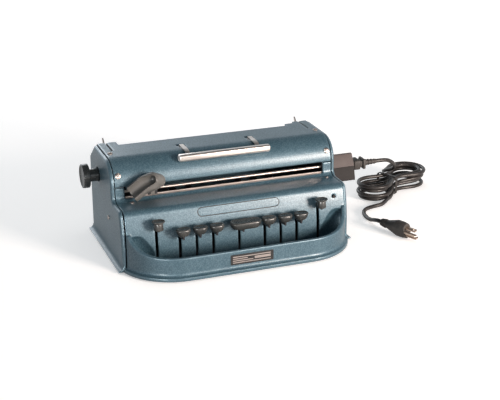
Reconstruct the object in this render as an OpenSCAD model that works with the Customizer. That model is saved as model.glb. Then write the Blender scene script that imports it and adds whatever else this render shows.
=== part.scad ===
// Electric brailler: a writing machine with nine keys, a sliding embossing head and a motor drive.
// X runs along the machine, Y points to the back and Z up. Z = 0 is the table under the feet.
// Places along the depth are given as distances in front of the rear edge, and fwd() turns them into Y.

/* [Case] */
// Width over the side panels
case_w = 330; // [320:1:360]
// Depth of the flat top, from the rear edge to the cover's curve
cover_d = 86; // [82:0.5:92]
// Height of the top cover
case_h = 138; // [134:0.5:150]
// Thickness of the cast side panels
panel_t = 5; // [4.5:0.5:6]
// Wall of the front casting
cast_t = 3; // [2.5:0.1:3.6]
// Gap between the side panels and what stands between them
groove = 0.8; // [0.5:0.1:1.2]
// Height of the case edge above the table
foot_gap = 1.5; // [1:0.1:2]
// Thickness of the base plate
base_t = 1.5; // [1.2:0.1:2]
// Height of the rubber feet
foot_h = 3; // [2.6:0.1:4]
// Diameter of the rubber feet
foot_dia = 18; // [14:1:22]
// How far the flared foot of the side panels stands out
flare = 6; // [4:0.5:7]
// Radius of the rounded rim of the side panels
rim_r = 4.6; // [3.5:0.1:4.9]
// Height of the slanted rear shoulder's foot
shoulder_h = 115; // [110:1:120]
// Length of the slanted rear shoulder
shoulder_len = 28; // [22:1:32]

/* [Top cover] */
// Thickness of the cover
cover_t = 2.5; // [2:0.1:3]
// Outer radius of the cover's front curve
cover_r = 33.5; // [30:0.5:38]
// Straight skirt below the curve
skirt_h = 0.8; // [0.6:0.1:2]
// Distance of the cover's middle from the rear edge
cover_back = 40; // [36:1:46]
// Distance of the cover's end tabs from the rear edge
tab_back = 26; // [24:1:30]
// Length of the left end tab
tab_left = 27; // [25:1:34]
// Length of the right end tab
tab_right = 37; // [30:1:42]
// Width of the slits for the release levers
slit_w = 2.6; // [2.4:0.1:3.4]
// Front end of the slits, from the rear edge
slit_end = 64; // [62:1:70]

/* [Front casting] */
// Depth of the tray in front of the keyboard face
tray_out = 54; // [50:1:60]
// Depth of the ledge from the cover to the keyboard face
ledge_len = 53.5; // [50:0.5:58]
// Height of the head slot
slot_h = 19.7; // [18:0.1:22]
// Width of the cheeks beside the head slot
cheek_w = 13.2; // [12.4:0.1:16]
// Radius of the long curve of the keyboard face
face_r = 200; // [160:10:260]
// Height at which the keyboard face stands upright
face_z = 20; // [14:1:26]
// Radius between the face and the ledge
brow_r = 10; // [8:1:13]
// Radius between the ledge and the cheeks
cove_r = 8; // [6:1:10]
// Height of the rear lip of the ledge
lip_h = 4; // [3:0.5:5]
// Outer corner radius of the tray
tray_r = 75; // [70:1:80]
// Thickness of the tray wall
tray_t = 5; // [4:0.5:6]
// Height of the tray wall at the front
tray_lip = 33; // [30:1:36]
// Height of the tray wall at its ears
ear_h = 54; // [48:1:58]
// Radius of the sweep from the lip up to the ears
sweep_r = 52.5; // [46:0.5:60]
// Top of the trough floor
floor_z = 8; // [7:0.5:10]
// How far the tray's foot bead stands out
bead = 5; // [4:0.5:6]
// Width of the key slots
key_slot_w = 3.3; // [3.2:0.1:4]
// Radius of the upper finger scoops
scoop_r = 21; // [19:0.5:23]
// Length of the badge outline
badge_len = 119; // [100:1:124]
// Height of the badge outline
badge_h = 12.5; // [11:0.5:14]
// Length of the label plate
label_len = 61; // [54:1:70]
// Height of the label plate
label_h = 14.5; // [12:0.5:16]

/* [Keys] */
// Distance of the line-space and backspace keys from the middle
side_key_x = 117.5; // [114:0.5:122]
// Distance of the inner dot keys from the middle
dot_x = 37.6; // [36:0.1:40]
// Spacing of the dot keys
dot_pitch = 23.7; // [23:0.1:24.5]
// Width of a dot key
dot_w = 21; // [18:0.5:22]
// Depth of a dot key
dot_d = 15; // [13:0.5:17]
// Top of the dot keys
dot_top = 60.5; // [58:0.5:64]
// Height of a dot key
dot_h = 10.5; // [9:0.5:11.5]
// Width of the spacebar
space_w = 45; // [40:1:48]
// Depth of the spacebar
space_d = 20; // [16:1:24]
// Top of the spacebar
space_top = 60; // [58:0.5:63]
// Width of the two side keys
tee_w = 19.5; // [17:0.5:22]
// Depth of the two side keys
tee_d = 15; // [14:0.5:16]
// Top of the two side keys
tee_top = 74; // [72:0.5:77]
// Diameter of the stem of a side key
tee_stem = 14; // [11:0.5:15]
// Thickness of a key lever
lever_t = 2; // [1.6:0.1:2.4]
// Diameter of the key shaft
key_shaft_dia = 8; // [6:0.5:10]
// Distance of the key shaft from the rear edge
key_shaft_back = 78; // [74:1:84]
// Height of the key shaft
key_shaft_z = 30; // [27:1:34]
// Distance of the key centres in front of the keyboard face
key_reach = 14; // [13:0.5:18]

/* [Handle] */
// Length of the handle bar
bar_len = 130; // [120:1:140]
// Thickness of the handle bar
bar_t = 10; // [8:0.5:10.5]
// Distance of each strap from the middle
strap_x = 51; // [45:0.5:55]
// Width of a strap
strap_w = 6.2; // [5.2:0.2:7.2]
// Thickness of a strap
strap_t = 1.6; // [1.2:0.1:2]
// Distance of the strap pivot behind the cover's curve
strap_in = 10; // [8:0.5:11]
// Diameter of the strap pivot rod
strap_rod = 3.4; // [3:0.1:4]

/* [Head and rails] */
// Diameter of the upper head rail
rail_dia = 4; // [3.5:0.1:5]
// Diameter of the rear head rail
rear_rail_dia = 6; // [5:0.5:7]
// Thickness of the inner frame plates
frame_t = 2; // [1.5:0.1:2.5]
// Length of the carriage
carriage_len = 30; // [26:1:34]
// Radius of the finger trough of the head lever
trough_r = 8.2; // [7.5:0.1:8.5]
// Length of the finger trough of the head lever
trough_len = 31; // [28:1:33]

/* [Paper feed] */
// Diameter of the feed shaft
feed_shaft_dia = 8; // [7:0.5:9]
// Diameter of the feed roller
roller_dia = 22; // [18:1:24]
// Distance of the feed roller from the rear edge
roller_back = 47; // [46:1:49]
// Depth of the feed roller's axis under the cover
roller_drop = 38; // [36:1:40]
// Diameter of the feed knob
knob_dia = 34; // [30:1:38]
// Thickness of the knob's rim
knob_t = 7; // [6:0.5:9]
// Diameter of the knob's hub
hub_dia = 18; // [16:0.5:19]
// Length of the knob's hub outside the panel
hub_len = 16; // [12:0.5:18]
// Distance of the release levers from the middle
release_x = 147; // [146.8:0.1:147.3]
// Thickness of the release levers
release_t = 1.5; // [1.2:0.1:1.8]

/* [Drive] */
// Diameter of the motor
motor_dia = 44; // [38:1:46]
// Length of the motor
motor_len = 65; // [55:1:68]
// Teeth of the motor pinion
pinion_teeth = 14; // [12:1:14]
// Teeth of the cam shaft gear
gear_teeth = 26; // [24:1:26]
// Gear module
gear_mod = 2; // [1.8:0.1:2]
// Radius of the cams
cam_r = 9; // [8:0.5:11]

/* [Power box and cord] */
// Length of the power box outside the panel
box_len = 57; // [50:1:62]
// Depth of the power box
box_d = 51; // [48:1:56]
// Underside of the power box
box_z = 50.5; // [48:0.5:54]
// Height of the power box
box_h = 37.5; // [36:0.5:40]
// Height of the seam between its halves
seam_z = 71; // [70:0.5:71.5]
// Wall of the power box
box_t = 2.5; // [2:0.1:3]
// Diameter of the mains cord
cord_dia = 6; // [5:0.1:6]

/* [Hidden] */
$fn = 48;

// clearances: a shaft turning in a bore, parts that pass each other, and overlap for clean unions
run_gap = 0.05;
free_gap = 0.5;
join = 1;

// colours
paint = [0.36, 0.46, 0.52];
charcoal = [0.2, 0.21, 0.21];
steel = [0.72, 0.71, 0.69];
dark_steel = [0.35, 0.35, 0.36];
black = [0.1, 0.1, 0.1];
plastic = [0.38, 0.35, 0.34];
rubber = [0.13, 0.12, 0.12];
brass = [0.75, 0.62, 0.32];

// main planes
case_d = cover_d + cover_r + ledge_len + tray_out;
y_rear = case_d / 2;
in_x = case_w / 2 - panel_t;
function fwd(d) = y_rear - d;
cover_x = in_x - groove;
slot_half = cover_x - cheek_w;
plate_z = foot_h + base_t;
face_d = case_d - tray_out;
rim_d = face_d - 3;
slot_d = face_d - ledge_len;
arc_d = cover_d;
strap_back = cover_d - strap_in;
arc_z = case_h - cover_r;
lip_z = arc_z - skirt_h;
ledge_z = lip_z - slot_h;
rim_top = case_h - 1.5;
flange_t = 1.2;
cover_under = case_h - cover_t;
tray_d = case_d - bead - tray_r;
tray_x = cover_x - 71.2;
tray_in = tray_r - tray_t;
sweep_d = tray_d + 68;
deep = 10;

// inner frame plates
frame_x = in_x - 10;
frame_in = frame_x - frame_t;

// shafts
roller_z = case_h - roller_drop;
release_d = roller_back - 17;
release_z = roller_z + 4;
release_hub = 6;
rail_d = slot_d - 7.5;
rail_z = lip_z - 9.2;
rear_rail_d = rail_d - 22;
rear_rail_z = rail_z + 1.5;
rack_d = rear_rail_d - 9;
rack_z = rear_rail_z + 2;
margin_d = 12;
margin_z = roller_z - 9;
margin_rod = 6;
motor_d = 36;
motor_z = 40;
gear_span = gear_mod * (pinion_teeth + gear_teeth) / 2;
cam_out = 30;
cam_d = motor_d + cam_out;
cam_z = motor_z + sqrt(gear_span * gear_span - cam_out * cam_out);
gear_x = 138;
gear_w = 8;
cam_shaft_dia = 8;
strap_z = cover_under - 2.5;
strap_hub = 3.2;

// screws
screw_shank = 3.5;
screw_head = 8.4;
small_head = 7;
top_screw_x = in_x - 7;
top_screw_d = cover_d - 11;
front_screw_x = in_x - 6.7;
front_screw_a = 26;
boss_in = in_x - 10.5;
boss_deep = 11;
side_screw_d = 102;
side_screw_z = 56;
rear_screw_x = in_x - 4;
rear_screw_zs = [14, margin_z - 14];

// 2D helpers
function arc(c, r, a0, a1, n) = [for (i = [0:n]) let (a = a0 + (a1 - a0) * i / n)
    [c[0] + r * cos(a), c[1] + r * sin(a)]];
function rest(p) = [for (i = [1:len(p) - 1]) p[i]];
function reversed(p) = [for (i = [len(p) - 1:-1:0]) p[i]];
function right_of(a, b) = let (v = b - a) [v[1], -v[0]] / norm(v);
function mitre(n1, n2) = 2 * (n1 + n2) / ((n1 + n2) * (n1 + n2));
// a path moved to its right by t, and a strip of thickness t along it
function moved(p, t) = [for (i = [0:len(p) - 1])
    let (a = max(i, 1), b = min(i, len(p) - 2))
    p[i] + t * mitre(right_of(p[a - 1], p[a]), right_of(p[b], p[b + 1]))];
function strip(p, t) = concat(p, reversed(moved(p, t)));
// a closed outline drawn in by t on its right side
function drawn_in(p, t) = let (n = len(p)) [for (i = [0:n - 1])
    p[i] + t * mitre(right_of(p[(i + n - 1) % n], p[i]), right_of(p[i], p[(i + 1) % n]))];

// outlines in the plane of Y and Z, from the front foot upwards and to the back
// a face that rises along a long arc, rounds over a brow and runs back along the ledge
function front_path(d) =
    let (c = [fwd(d) + face_r, face_z],
         up = ledge_z - brow_r - face_z,
         b = [c[0] - sqrt(pow(face_r - brow_r, 2) - up * up), ledge_z - brow_r],
         a = 180 - asin(up / (face_r - brow_r)))
    concat([[fwd(d), -deep]], arc(c, face_r, 180, a, 8), rest(arc(b, brow_r, a, 90, 6)));
cove_c = [fwd(slot_d + cove_r + 1), ledge_z + cove_r];
panel_path = concat(
    front_path(rim_d),
    arc(cove_c, cove_r, -90, 0, 6),
    arc([fwd(arc_d + 2), rim_top - cover_r + 1.5], cover_r - 1.5, 180, 90, 14),
    [[fwd(shoulder_len), rim_top], [y_rear, shoulder_h], [y_rear, -deep]]);
casting_path = concat(
    front_path(face_d), arc(cove_c, cove_r, -90, -90 + acos(1 - lip_h / cove_r), 3));
cover_path = concat(
    [[fwd(slot_d), lip_z]],
    arc([fwd(arc_d), arc_z], cover_r, 180, 90, 18),
    [[fwd(tab_back), case_h]]);

// what is drawn in the plane of Y and Z, from x0 to x1
module along_x(x0, x1) {
    translate([x0, 0, 0]) rotate([90, 0, 90]) linear_extrude(x1 - x0) children();
}
// a rod or a hole along X
module rod_x(x0, x1, d, z, dia) {
    translate([x0, fwd(d), z]) rotate([0, 90, 0]) cylinder(h = x1 - x0, d = dia);
}
// a block from x0 to x1, from distance d0 to d1 and from z0 to z1
module block(x0, x1, d0, d1, z0, z1) {
    translate([x0, fwd(d1), z0]) cube([x1 - x0, d1 - d0, z1 - z0]);
}
// a child at both ends of the machine
module both() {
    children();
    mirror([1, 0, 0]) children();
}
// what stands square on the cover's curve at angle a
module on_curve(x, a, r) {
    translate([x, fwd(arc_d), arc_z]) rotate([90 - a, 0, 0]) translate([0, 0, r]) children();
}

// case

// a plate from x, flat thick at its outline and rounded over by r: a plain core and a ring round it
module rimmed(path, x, flat, r) {
    steps = [0, 22.5, 45, 67.5, 90];
    xs = concat([x], [for (a = steps) x + flat + r * sin(a)], [x]);
    insets = concat([0], [for (a = steps) r * (1 - cos(a))], [r + 1]);
    n = len(path);
    m = len(xs);
    points = [for (i = [0:m - 1]) let (q = drawn_in(path, insets[i])) for (p = q) [xs[i], p[0], p[1]]];
    along_x(x, x + flat + r) polygon(drawn_in(path, r));
    polyhedron(points, [for (k = [0:m - 1]) for (i = [0:n - 1])
        let (j = (i + 1) % n, a = k * n + i, b = (k + 1) % m * n + i, c = (k + 1) % m * n + j, d = k * n + j)
        for (t = [[a, c, b], [a, d, c]]) t]);
}

module side_panel_body() {
    difference() {
        union() {
            rimmed(panel_path, in_x, panel_t - rim_r, rim_r);
            // flared foot, whose sweep ends inside the panel
            translate([0, fwd(0), 0]) rotate([90, 0, 0]) linear_extrude(rim_d)
                polygon(concat(
                    [[in_x + join, foot_gap], [in_x + panel_t + flare, foot_gap],
                     [in_x + panel_t + flare, foot_gap + flange_t]],
                    arc([in_x + panel_t + flare - 0.3, foot_gap + flange_t + flare], flare, 270, 180, 5),
                    [[in_x + join, foot_gap + flange_t + flare]]));
            // seats for the cover screws
            block(boss_in, in_x + join, top_screw_d - 5, top_screw_d + 5, cover_under - boss_deep,
                cover_under);
            on_curve(boss_in, front_screw_a, cover_r - cover_t - boss_deep + 1.5)
                translate([0, -4, 0]) cube([in_x + join - boss_in, 8, boss_deep - 2]);
        }
        translate([boss_in - 1, fwd(case_d), -deep]) cube([40, case_d + 1, deep + foot_gap]);
        // screw holes
        translate([top_screw_x, fwd(top_screw_d), cover_under - 8]) cylinder(h = 9, d = screw_shank);
        on_curve(front_screw_x, front_screw_a, cover_r - cover_t - 8) cylinder(h = 9, d = screw_shank);
        rod_x(in_x - 1, in_x + panel_t + 1, side_screw_d, side_screw_z, screw_shank);
    }
}
module left_side_panel() color(paint) mirror([1, 0, 0]) difference() {
    side_panel_body();
    rod_x(in_x - 1, in_x + panel_t + 1, roller_back, roller_z, hub_dia + 4);
}
module right_side_panel() color(paint) difference() {
    side_panel_body();
    rod_x(in_x - 1, in_x + panel_t + 1, box_mid, wire_z, wire_hole);
}

// keyboard face, ledge and lip, without the tray
module face_shell() {
    along_x(-cover_x, cover_x) polygon(strip(casting_path, cast_t));
    // cheeks beside the head slot
    both() along_x(slot_half, cover_x) polygon(concat(
        arc(cove_c, cove_r, -90, 0, 6),
        [[fwd(slot_d + 1), lip_z - free_gap], [fwd(slot_d - 3.5), lip_z - free_gap],
         [fwd(slot_d - 3.5), ledge_z - cast_t], [cove_c[0], ledge_z - cast_t]]));
}
// the tray wall's cross section, from the corner's centre outwards
module wall_section() {
    polygon(concat(
        [[tray_in, floor_z - 2.5], [tray_in, ear_h], [tray_r, ear_h]],
        arc([tray_r + bead, foot_gap + 5 + bead], bead, 180, 270, 5),
        [[tray_r + bead, foot_gap], [tray_r + bead - cast_t, foot_gap],
         [tray_r - 1, foot_gap + 4]]));
}
// plan of the trough with corner radius r
module trough_plan(r) {
    square_d = r - 20;
    both() translate([tray_x, fwd(tray_d)]) circle(r = r, $fn = 96);
    translate([-tray_x, fwd(tray_d + r)]) square([2 * tray_x, square_d]);
}
module tray() {
    intersection() {
        union() {
            difference() {
                union() {
                    both() translate([tray_x, fwd(tray_d), 0]) rotate([0, 0, -90])
                        rotate_extrude(angle = 82, $fn = 96) wall_section();
                    translate([-tray_x, fwd(tray_d), 0]) rotate([90, 0, 90])
                        linear_extrude(2 * tray_x) mirror([1, 0]) wall_section();
                }
                // the top sweeps from the lip up to the ears
                rod_x(-case_w, case_w, sweep_d, tray_lip + sweep_r, 2 * sweep_r);
                block(-case_w, case_w, sweep_d, case_d + 1, tray_lip, case_h);
            }
            translate([0, 0, floor_z - 2.5]) linear_extrude(2.5) trough_plan(tray_in + 1);
        }
        union() {
            block(-cover_x, cover_x, face_d - cast_t, case_d + 1, foot_gap, case_h);
            block(-case_w, case_w, rim_d + free_gap, case_d + 1, foot_gap, case_h);
        }
    }
}
// finger scoops: smooth bowls round two balls, kept inside the trough's plan
module scoops(grow) {
    both() intersection() {
        hull() {
            translate([in_x - 14, fwd(face_d + 14), tray_lip + 5.5]) sphere(r = scoop_r + grow);
            translate([in_x - 22, fwd(face_d + 18), tray_lip - 11]) sphere(r = scoop_r + 4 + grow);
        }
        translate([tray_x, fwd(tray_d), floor_z - grow]) cylinder(h = case_h, r = tray_in + grow, $fn = 96);
    }
}
key_xs = [for (s = [-1, 1]) for (i = [0:2]) s * (dot_x + dot_pitch * i)];
module front_casting() color(paint) difference() {
    union() {
        difference() {
            union() {
                face_shell();
                // backs of the scoops, kept behind the face
                intersection() {
                    scoops(cast_t);
                    along_x(-cover_x, cover_x) polygon(concat(
                        front_path(face_d), [[fwd(slot_d), ledge_z], [fwd(slot_d), floor_z - cast_t]]));
                }
            }
            scoops(0);
        }
        tray();
    }
    translate([-case_w, fwd(case_d + 1), -2 * deep]) cube([2 * case_w, case_d, 2 * deep + foot_gap]);
    // key slots
    for (x = concat([0], key_xs)) slot_cut(x, dot_top - dot_h);
    for (x = [-side_key_x, side_key_x]) slot_cut(x, tee_top - tee_h + neck);
    // the badge's place, bare inside its outline
    badge_groove();
    rod_y(lamp_x, face_d - 20, 20, lamp_z, lamp_dia);
    for (x = ledge_screw_xs) translate([x, fwd(ledge_screw_d), ledge_z - 8]) cylinder(h = 9, d = screw_shank);
}
lamp_x = 143;
lamp_z = 69;
lamp_dia = 4.4;
ledge_screw_xs = [-slot_half + 7, slot_half + 2];
ledge_screw_d = slot_d + cove_r + 3.5;
module slot_cut(x, top) {
    block(x - key_slot_w / 2, x + key_slot_w / 2, face_d - 30, face_d + 3, floor_z + 1, top);
}
// a rod or a hole along Y, from distance d and over the given length forwards
module rod_y(x, d, len, z, dia) {
    translate([x, fwd(d), z]) rotate([90, 0, 0]) cylinder(h = len, d = dia);
}
module stadium(w, h) {
    translate([-(w - h) / 2, 0]) circle(d = h);
    translate([(w - h) / 2, 0]) circle(d = h);
    square([w - h, h], center = true);
}
badge_z = 72;
badge_x = 1.5;
groove_w = 0.9;
groove_t = 0.6;
module badge_groove() {
    intersection() {
        translate([badge_x, fwd(face_d - 20), badge_z]) rotate([90, 0, 0]) linear_extrude(30) difference() {
            stadium(badge_len, badge_h);
            stadium(badge_len - 2 * groove_w, badge_h - 2 * groove_w);
        }
        along_x(-badge_len, badge_len) polygon(strip(moved(casting_path, -1), groove_t + 1));
    }
}

module top_cover() color(paint) difference() {
    union() {
        along_x(-cover_x, cover_x) polygon(strip(cover_path, cover_t));
        // lugs that carry the handle's pivot rod
        for (s = [-1, 1]) translate([s * (strap_x + 9) - 1.5, fwd(strap_back) - 3.5, strap_z - 3.5])
            cube([3, 7, cover_under - strap_z + 3.5 + join]);
    }
    // room for the paper between the end tabs
    block(-cover_x + tab_left, cover_x - tab_right, tab_back - 1, cover_back, case_h - 9, case_h + 1);
    // notch beside the right tab
    block(cover_x - tab_right - 1, release_x - 11, tab_back - 1, cover_back - 8, case_h - 9, case_h + 1);
    for (s = [-1, 1]) {
        // release lever slits, handle windows and screw holes
        block(s * release_x - slit_w / 2, s * release_x + slit_w / 2, tab_back - 1, slit_end,
            case_h - 9, case_h + 1);
        block(s * strap_x - window_half, s * strap_x + window_half, strap_back - 7.5, strap_back + 4.5,
            case_h - 4, case_h + 1);
        translate([s * top_screw_x, fwd(top_screw_d), case_h - 9])
            cylinder(h = 12, d = screw_shank + 0.2);
        on_curve(s * front_screw_x, front_screw_a, cover_r - 9) cylinder(h = 12, d = screw_shank + 0.2);
    }
    rod_x(-strap_x - 12, strap_x + 12, strap_back, strap_z, strap_rod + 2 * run_gap);
}
window_half = strap_w / 2 + 3;

module base_plate() color(dark_steel) difference() {
    block(-in_x, in_x, 0, face_d - cast_t, foot_h, plate_z);
    // holes for the feet's studs
    foot_places() translate([0, 0, foot_h - 1]) cylinder(h = base_t + 2, d = 5);
}
module foot_places() {
    for (x = [-1, 1]) for (d = [22, face_d - 25])
        translate([x * (in_x - 25), fwd(d), 0]) children();
}
module rubber_feet() color(rubber) foot_places() {
    cylinder(h = 1, d1 = foot_dia - 2, d2 = foot_dia);
    translate([0, 0, 1]) cylinder(h = foot_h - 1, d = foot_dia);
    cylinder(h = plate_z, d = 5);
}

rear_t = 2;
slot_rim = 15;
module rear_panel() color(paint) difference() {
    block(-in_x, in_x, 1, 1 + rear_t, plate_z, table_z);
    // slot for the tabs of the margin stops
    block(-frame_in + slot_rim, frame_in - slot_rim, 0, 4, margin_z - 3, margin_z + 3);
    for (x = [-1, 1]) for (z = rear_screw_zs) rod_y(x * rear_screw_x, -1, 6, z, screw_shank);
}

// the sheet that guides the paper from the rear edge down to the feed roller
table_t = 1.2;
table_z = roller_z + 12.3;
module paper_table() color(paint) along_x(-table_half, table_half) polygon(strip([
    [fwd(roller_back - 14), table_z + table_t],
    [fwd(7), table_z + table_t],
    [fwd(1), table_z + table_t - 0.2],
    [fwd(-3), table_z - 4]], -table_t));
table_half = frame_in - 12;

// a plate in the plane of Y and Z, 2 mm at each end
module frame_plate() {
    difference() {
        union() {
            along_x(frame_in, frame_x) polygon([
                [fwd(8), plate_z], [fwd(8), table_z], [fwd(roller_back - 12), table_z],
                [fwd(roller_back + 14), rail_z + 7], [fwd(rail_d + 4), rail_z + 7],
                [fwd(rail_d + 4), rail_z - 14], [fwd(key_shaft_back + 24), plate_z + 34],
                [fwd(key_shaft_back + 34), plate_z]]);
            block(frame_in - 10, frame_in + join, 12, key_shaft_back + 30, plate_z, plate_z + frame_t);
            // ears that hold the table
            block(table_half - 4, frame_in + join, 9, 20, table_z - frame_t, table_z);
        }
        rod_x(frame_in - 1, frame_x + 1, roller_back, roller_z, feed_shaft_dia + 2 * run_gap);
        rod_x(frame_in - 1, frame_x + 1, release_d, release_z, release_rod + 2 * run_gap);
        rod_x(frame_in - 1, frame_x + 1, cam_d, cam_z, cam_shaft_dia + 2 * run_gap);
        rod_x(frame_in - 1, frame_x + 1, key_shaft_back, key_shaft_z, key_shaft_dia);
        rod_x(frame_in - 1, frame_x + 1, rail_d, rail_z, rail_dia);
        rod_x(frame_in - 1, frame_x + 1, rear_rail_d, rear_rail_z, rear_rail_dia);
        rod_x(frame_in - 1, frame_x + 1, margin_d, margin_z, margin_rod);
    }
}
release_rod = 6;
module inner_frames() color(steel) both() frame_plate();

module label_plate() color(black)
    block(-label_len / 2, label_len / 2, tray_d + tray_r, tray_d + tray_r + label_t,
        label_z - label_h / 2, label_z + label_h / 2);
label_z = 20.2;
label_t = 0.6;

// a screw with a domed, slotted head whose seat is at the origin
module screw(head, shank_len) {
    difference() {
        union() {
            cylinder(h = 1, d = head);
            translate([0, 0, 1]) cylinder(h = 0.9, d1 = head, d2 = head * 0.62);
            translate([0, 0, -shank_len]) cylinder(h = shank_len, d = screw_shank);
        }
        translate([-head, -0.5, 1]) cube([2 * head, 1, 2]);
    }
}
module case_screws() color(steel) {
    for (s = [-1, 1]) {
        translate([s * top_screw_x, fwd(top_screw_d), case_h]) screw(small_head, cover_t + 7);
        on_curve(s * front_screw_x, front_screw_a, cover_r) screw(screw_head, cover_t + 7);
        translate([s * case_w / 2, fwd(side_screw_d), side_screw_z]) rotate([0, s * 90, 0]) screw(6, 5);
        for (z = rear_screw_zs)
            translate([s * rear_screw_x, fwd(1), z]) rotate([-90, 0, 0]) screw(6, 3);
    }
    for (x = ledge_screw_xs) translate([x, fwd(ledge_screw_d), ledge_z]) screw(5, 6);
}

lamp_in = 8.2;
module indicator_lamp() color(black)
    rod_y(lamp_x, face_d - lamp_in, 4.5, lamp_z, lamp_dia);

module head_rails() color(steel) {
    rod_x(-frame_x, frame_x, rail_d, rail_z, rail_dia);
    rod_x(-frame_x, frame_x, rear_rail_d, rear_rail_z, rear_rail_dia);
}
module paper_guide() color(steel) block(-slot_half + 1, slot_half - 1, guide_d - 1.2, guide_d,
    ledge_z - 6, ledge_z + lip_h + 1.6);
guide_d = slot_d + 2 - cast_t;

module key_shaft() color(steel) rod_x(-frame_x, frame_x, key_shaft_back, key_shaft_z, key_shaft_dia);
key_hub = 14;
hub_w = 8;
all_key_xs = concat([-side_key_x], key_xs, [0, side_key_x]);
module key_springs() color(steel) for (x = all_key_xs) difference() {
    union() {
        rod_x(x + hub_w / 2 + 0.6, x + hub_w / 2 + 7, key_shaft_back, key_shaft_z, key_shaft_dia + 3);
        // leg down to the base plate
        block(x + hub_w / 2 + 5, x + hub_w / 2 + 7, key_shaft_back + key_shaft_dia / 2,
            key_shaft_back + key_shaft_dia / 2 + 1.5, plate_z, key_shaft_z);
    }
    rod_x(x, x + 20, key_shaft_back, key_shaft_z, key_shaft_dia);
}

motor_x = -gear_x + gear_w / 2 + 8;
motor_shaft = 5;
module drive_motor() color(dark_steel) {
    difference() {
        union() {
            rod_x(motor_x, motor_x + motor_len, motor_d, motor_z, motor_dia);
            // bearing nose and rear cap
            rod_x(motor_x - 3, motor_x + join, motor_d, motor_z, 16);
            rod_x(motor_x + motor_len - join, motor_x + motor_len + 6, motor_d, motor_z, motor_dia - 8);
        }
        rod_x(motor_x - 4, motor_x + 14, motor_d, motor_z, motor_shaft + 2 * run_gap);
    }
    // foot
    difference() {
        block(motor_x + 8, motor_x + motor_len - 8, motor_d - motor_dia / 2, motor_d + motor_dia / 2,
            plate_z, motor_z - 8);
        rod_x(motor_x, motor_x + motor_len, motor_d, motor_z, motor_dia);
    }
}

// outline of a wheel whose teeth are tip wide at the outer radius and root wide at the inner one
function wheel(teeth, inner, outer, root, tip) = [for (i = [0:teeth - 1])
    for (p = [[inner, -root], [outer, -tip], [outer, tip], [inner, root]])
        let (a = 360 * i / teeth)
        [p[0] * cos(a) - p[1] * sin(a) / 2, p[0] * sin(a) + p[1] * cos(a) / 2]];
// a spur gear with narrow straight teeth
module gear(teeth) {
    pitch_r = gear_mod * teeth / 2;
    polygon(wheel(teeth, pitch_r - 1.1 * gear_mod, pitch_r + 0.8 * gear_mod,
        gear_mod * 1.2, gear_mod * 0.6));
}
// the line between the two gear axes, seen along X
mesh_a = atan2(cam_z - motor_z, fwd(cam_d) - fwd(motor_d));
module motor_pinion() color(brass) {
    translate([-gear_x - gear_w / 2, fwd(motor_d), motor_z]) rotate([90, 0, 90])
        linear_extrude(gear_w) rotate(mesh_a) gear(pinion_teeth);
    rod_x(-gear_x, motor_x + 12, motor_d, motor_z, motor_shaft);
}
module cam_shaft() color(steel) {
    translate([-gear_x - gear_w / 2, fwd(cam_d), cam_z]) rotate([90, 0, 90])
        linear_extrude(gear_w) rotate(mesh_a + 180 + 180 / gear_teeth) gear(gear_teeth);
    rod_x(-frame_x, frame_x, cam_d, cam_z, cam_shaft_dia);
    for (x = key_xs) translate([x - 3, fwd(cam_d), cam_z]) rotate([90, 0, 90]) linear_extrude(6) {
        circle(r = cam_r - 2);
        translate([3, 0]) circle(r = cam_r - 2);
    }
}

// power box: an upright lower front, a steep upper front and a roof that falls to the rear
box_mid = 46;
box_break = box_z + 20.5;
wire_z = 70;
wire_hole = 10;
function box_path(t) =
    let (f = box_mid + box_d / 2 - t, b = box_mid - box_d / 2 + t, lo = box_z + t, hi = box_z + box_h - t)
    [[fwd(f), lo], [fwd(f - 5.5), box_break], [fwd(f - 15), hi], [fwd(f - 19), hi],
     [fwd(b), box_break - 2 - t / 2], [fwd(b), lo]];
module box_shell() {
    difference() {
        along_x(case_w / 2, case_w / 2 + box_len) polygon(box_path(0));
        along_x(case_w / 2 + box_t, case_w / 2 + box_len - box_t) polygon(box_path(box_t));
        along_x(case_w / 2 + box_len - box_t - 1, case_w / 2 + box_len + 1) inlet_shape(inlet_t + socket_gap);
        rod_x(case_w / 2 - 1, case_w / 2 + box_t + 1, box_mid, wire_z, wire_hole);
    }
}
inlet_d = 52;
inlet_z = 69;
inlet_t = 1.1;
socket_gap = 0.4;
plug_w = 17;
plug_h = 13;
// the connector's nose, a block with two cut corners, grown by g
module inlet_shape(g) {
    w = plug_w / 2 + g;
    h = plug_h / 2 + g;
    c = 3.5 + 0.59 * g;
    translate([fwd(inlet_d), inlet_z])
        polygon([[-w, -h], [w, -h], [w, h - c], [w - c, h], [-w + c, h], [-w, h - c]]);
}
module power_box() color(plastic) intersection() {
    box_shell();
    block(0, case_w, 0, case_d, seam_z, case_h);
}
module power_box_lid() color(plastic) intersection() {
    box_shell();
    block(0, case_w, 0, case_d, 0, seam_z);
}
socket_deep = 14;
module power_inlet() color(black) {
    x1 = case_w / 2 + box_len;
    difference() {
        along_x(x1 - socket_deep - 3, x1) inlet_shape(inlet_t + socket_gap);
        along_x(x1 - socket_deep, x1 + 1) inlet_shape(socket_gap);
    }
}

bell_x = 95;
bell_d = 34;
module bell() color(brass) translate([bell_x, fwd(bell_d), plate_z]) {
    cylinder(h = 22, d = 6);
    translate([0, 0, 22]) intersection() {
        difference() {
            sphere(r = 18);
            sphere(r = 16.4);
        }
        cylinder(h = 20, r = 20);
    }
    translate([0, 0, 20]) cylinder(h = 20, d = 4);
}

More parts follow.
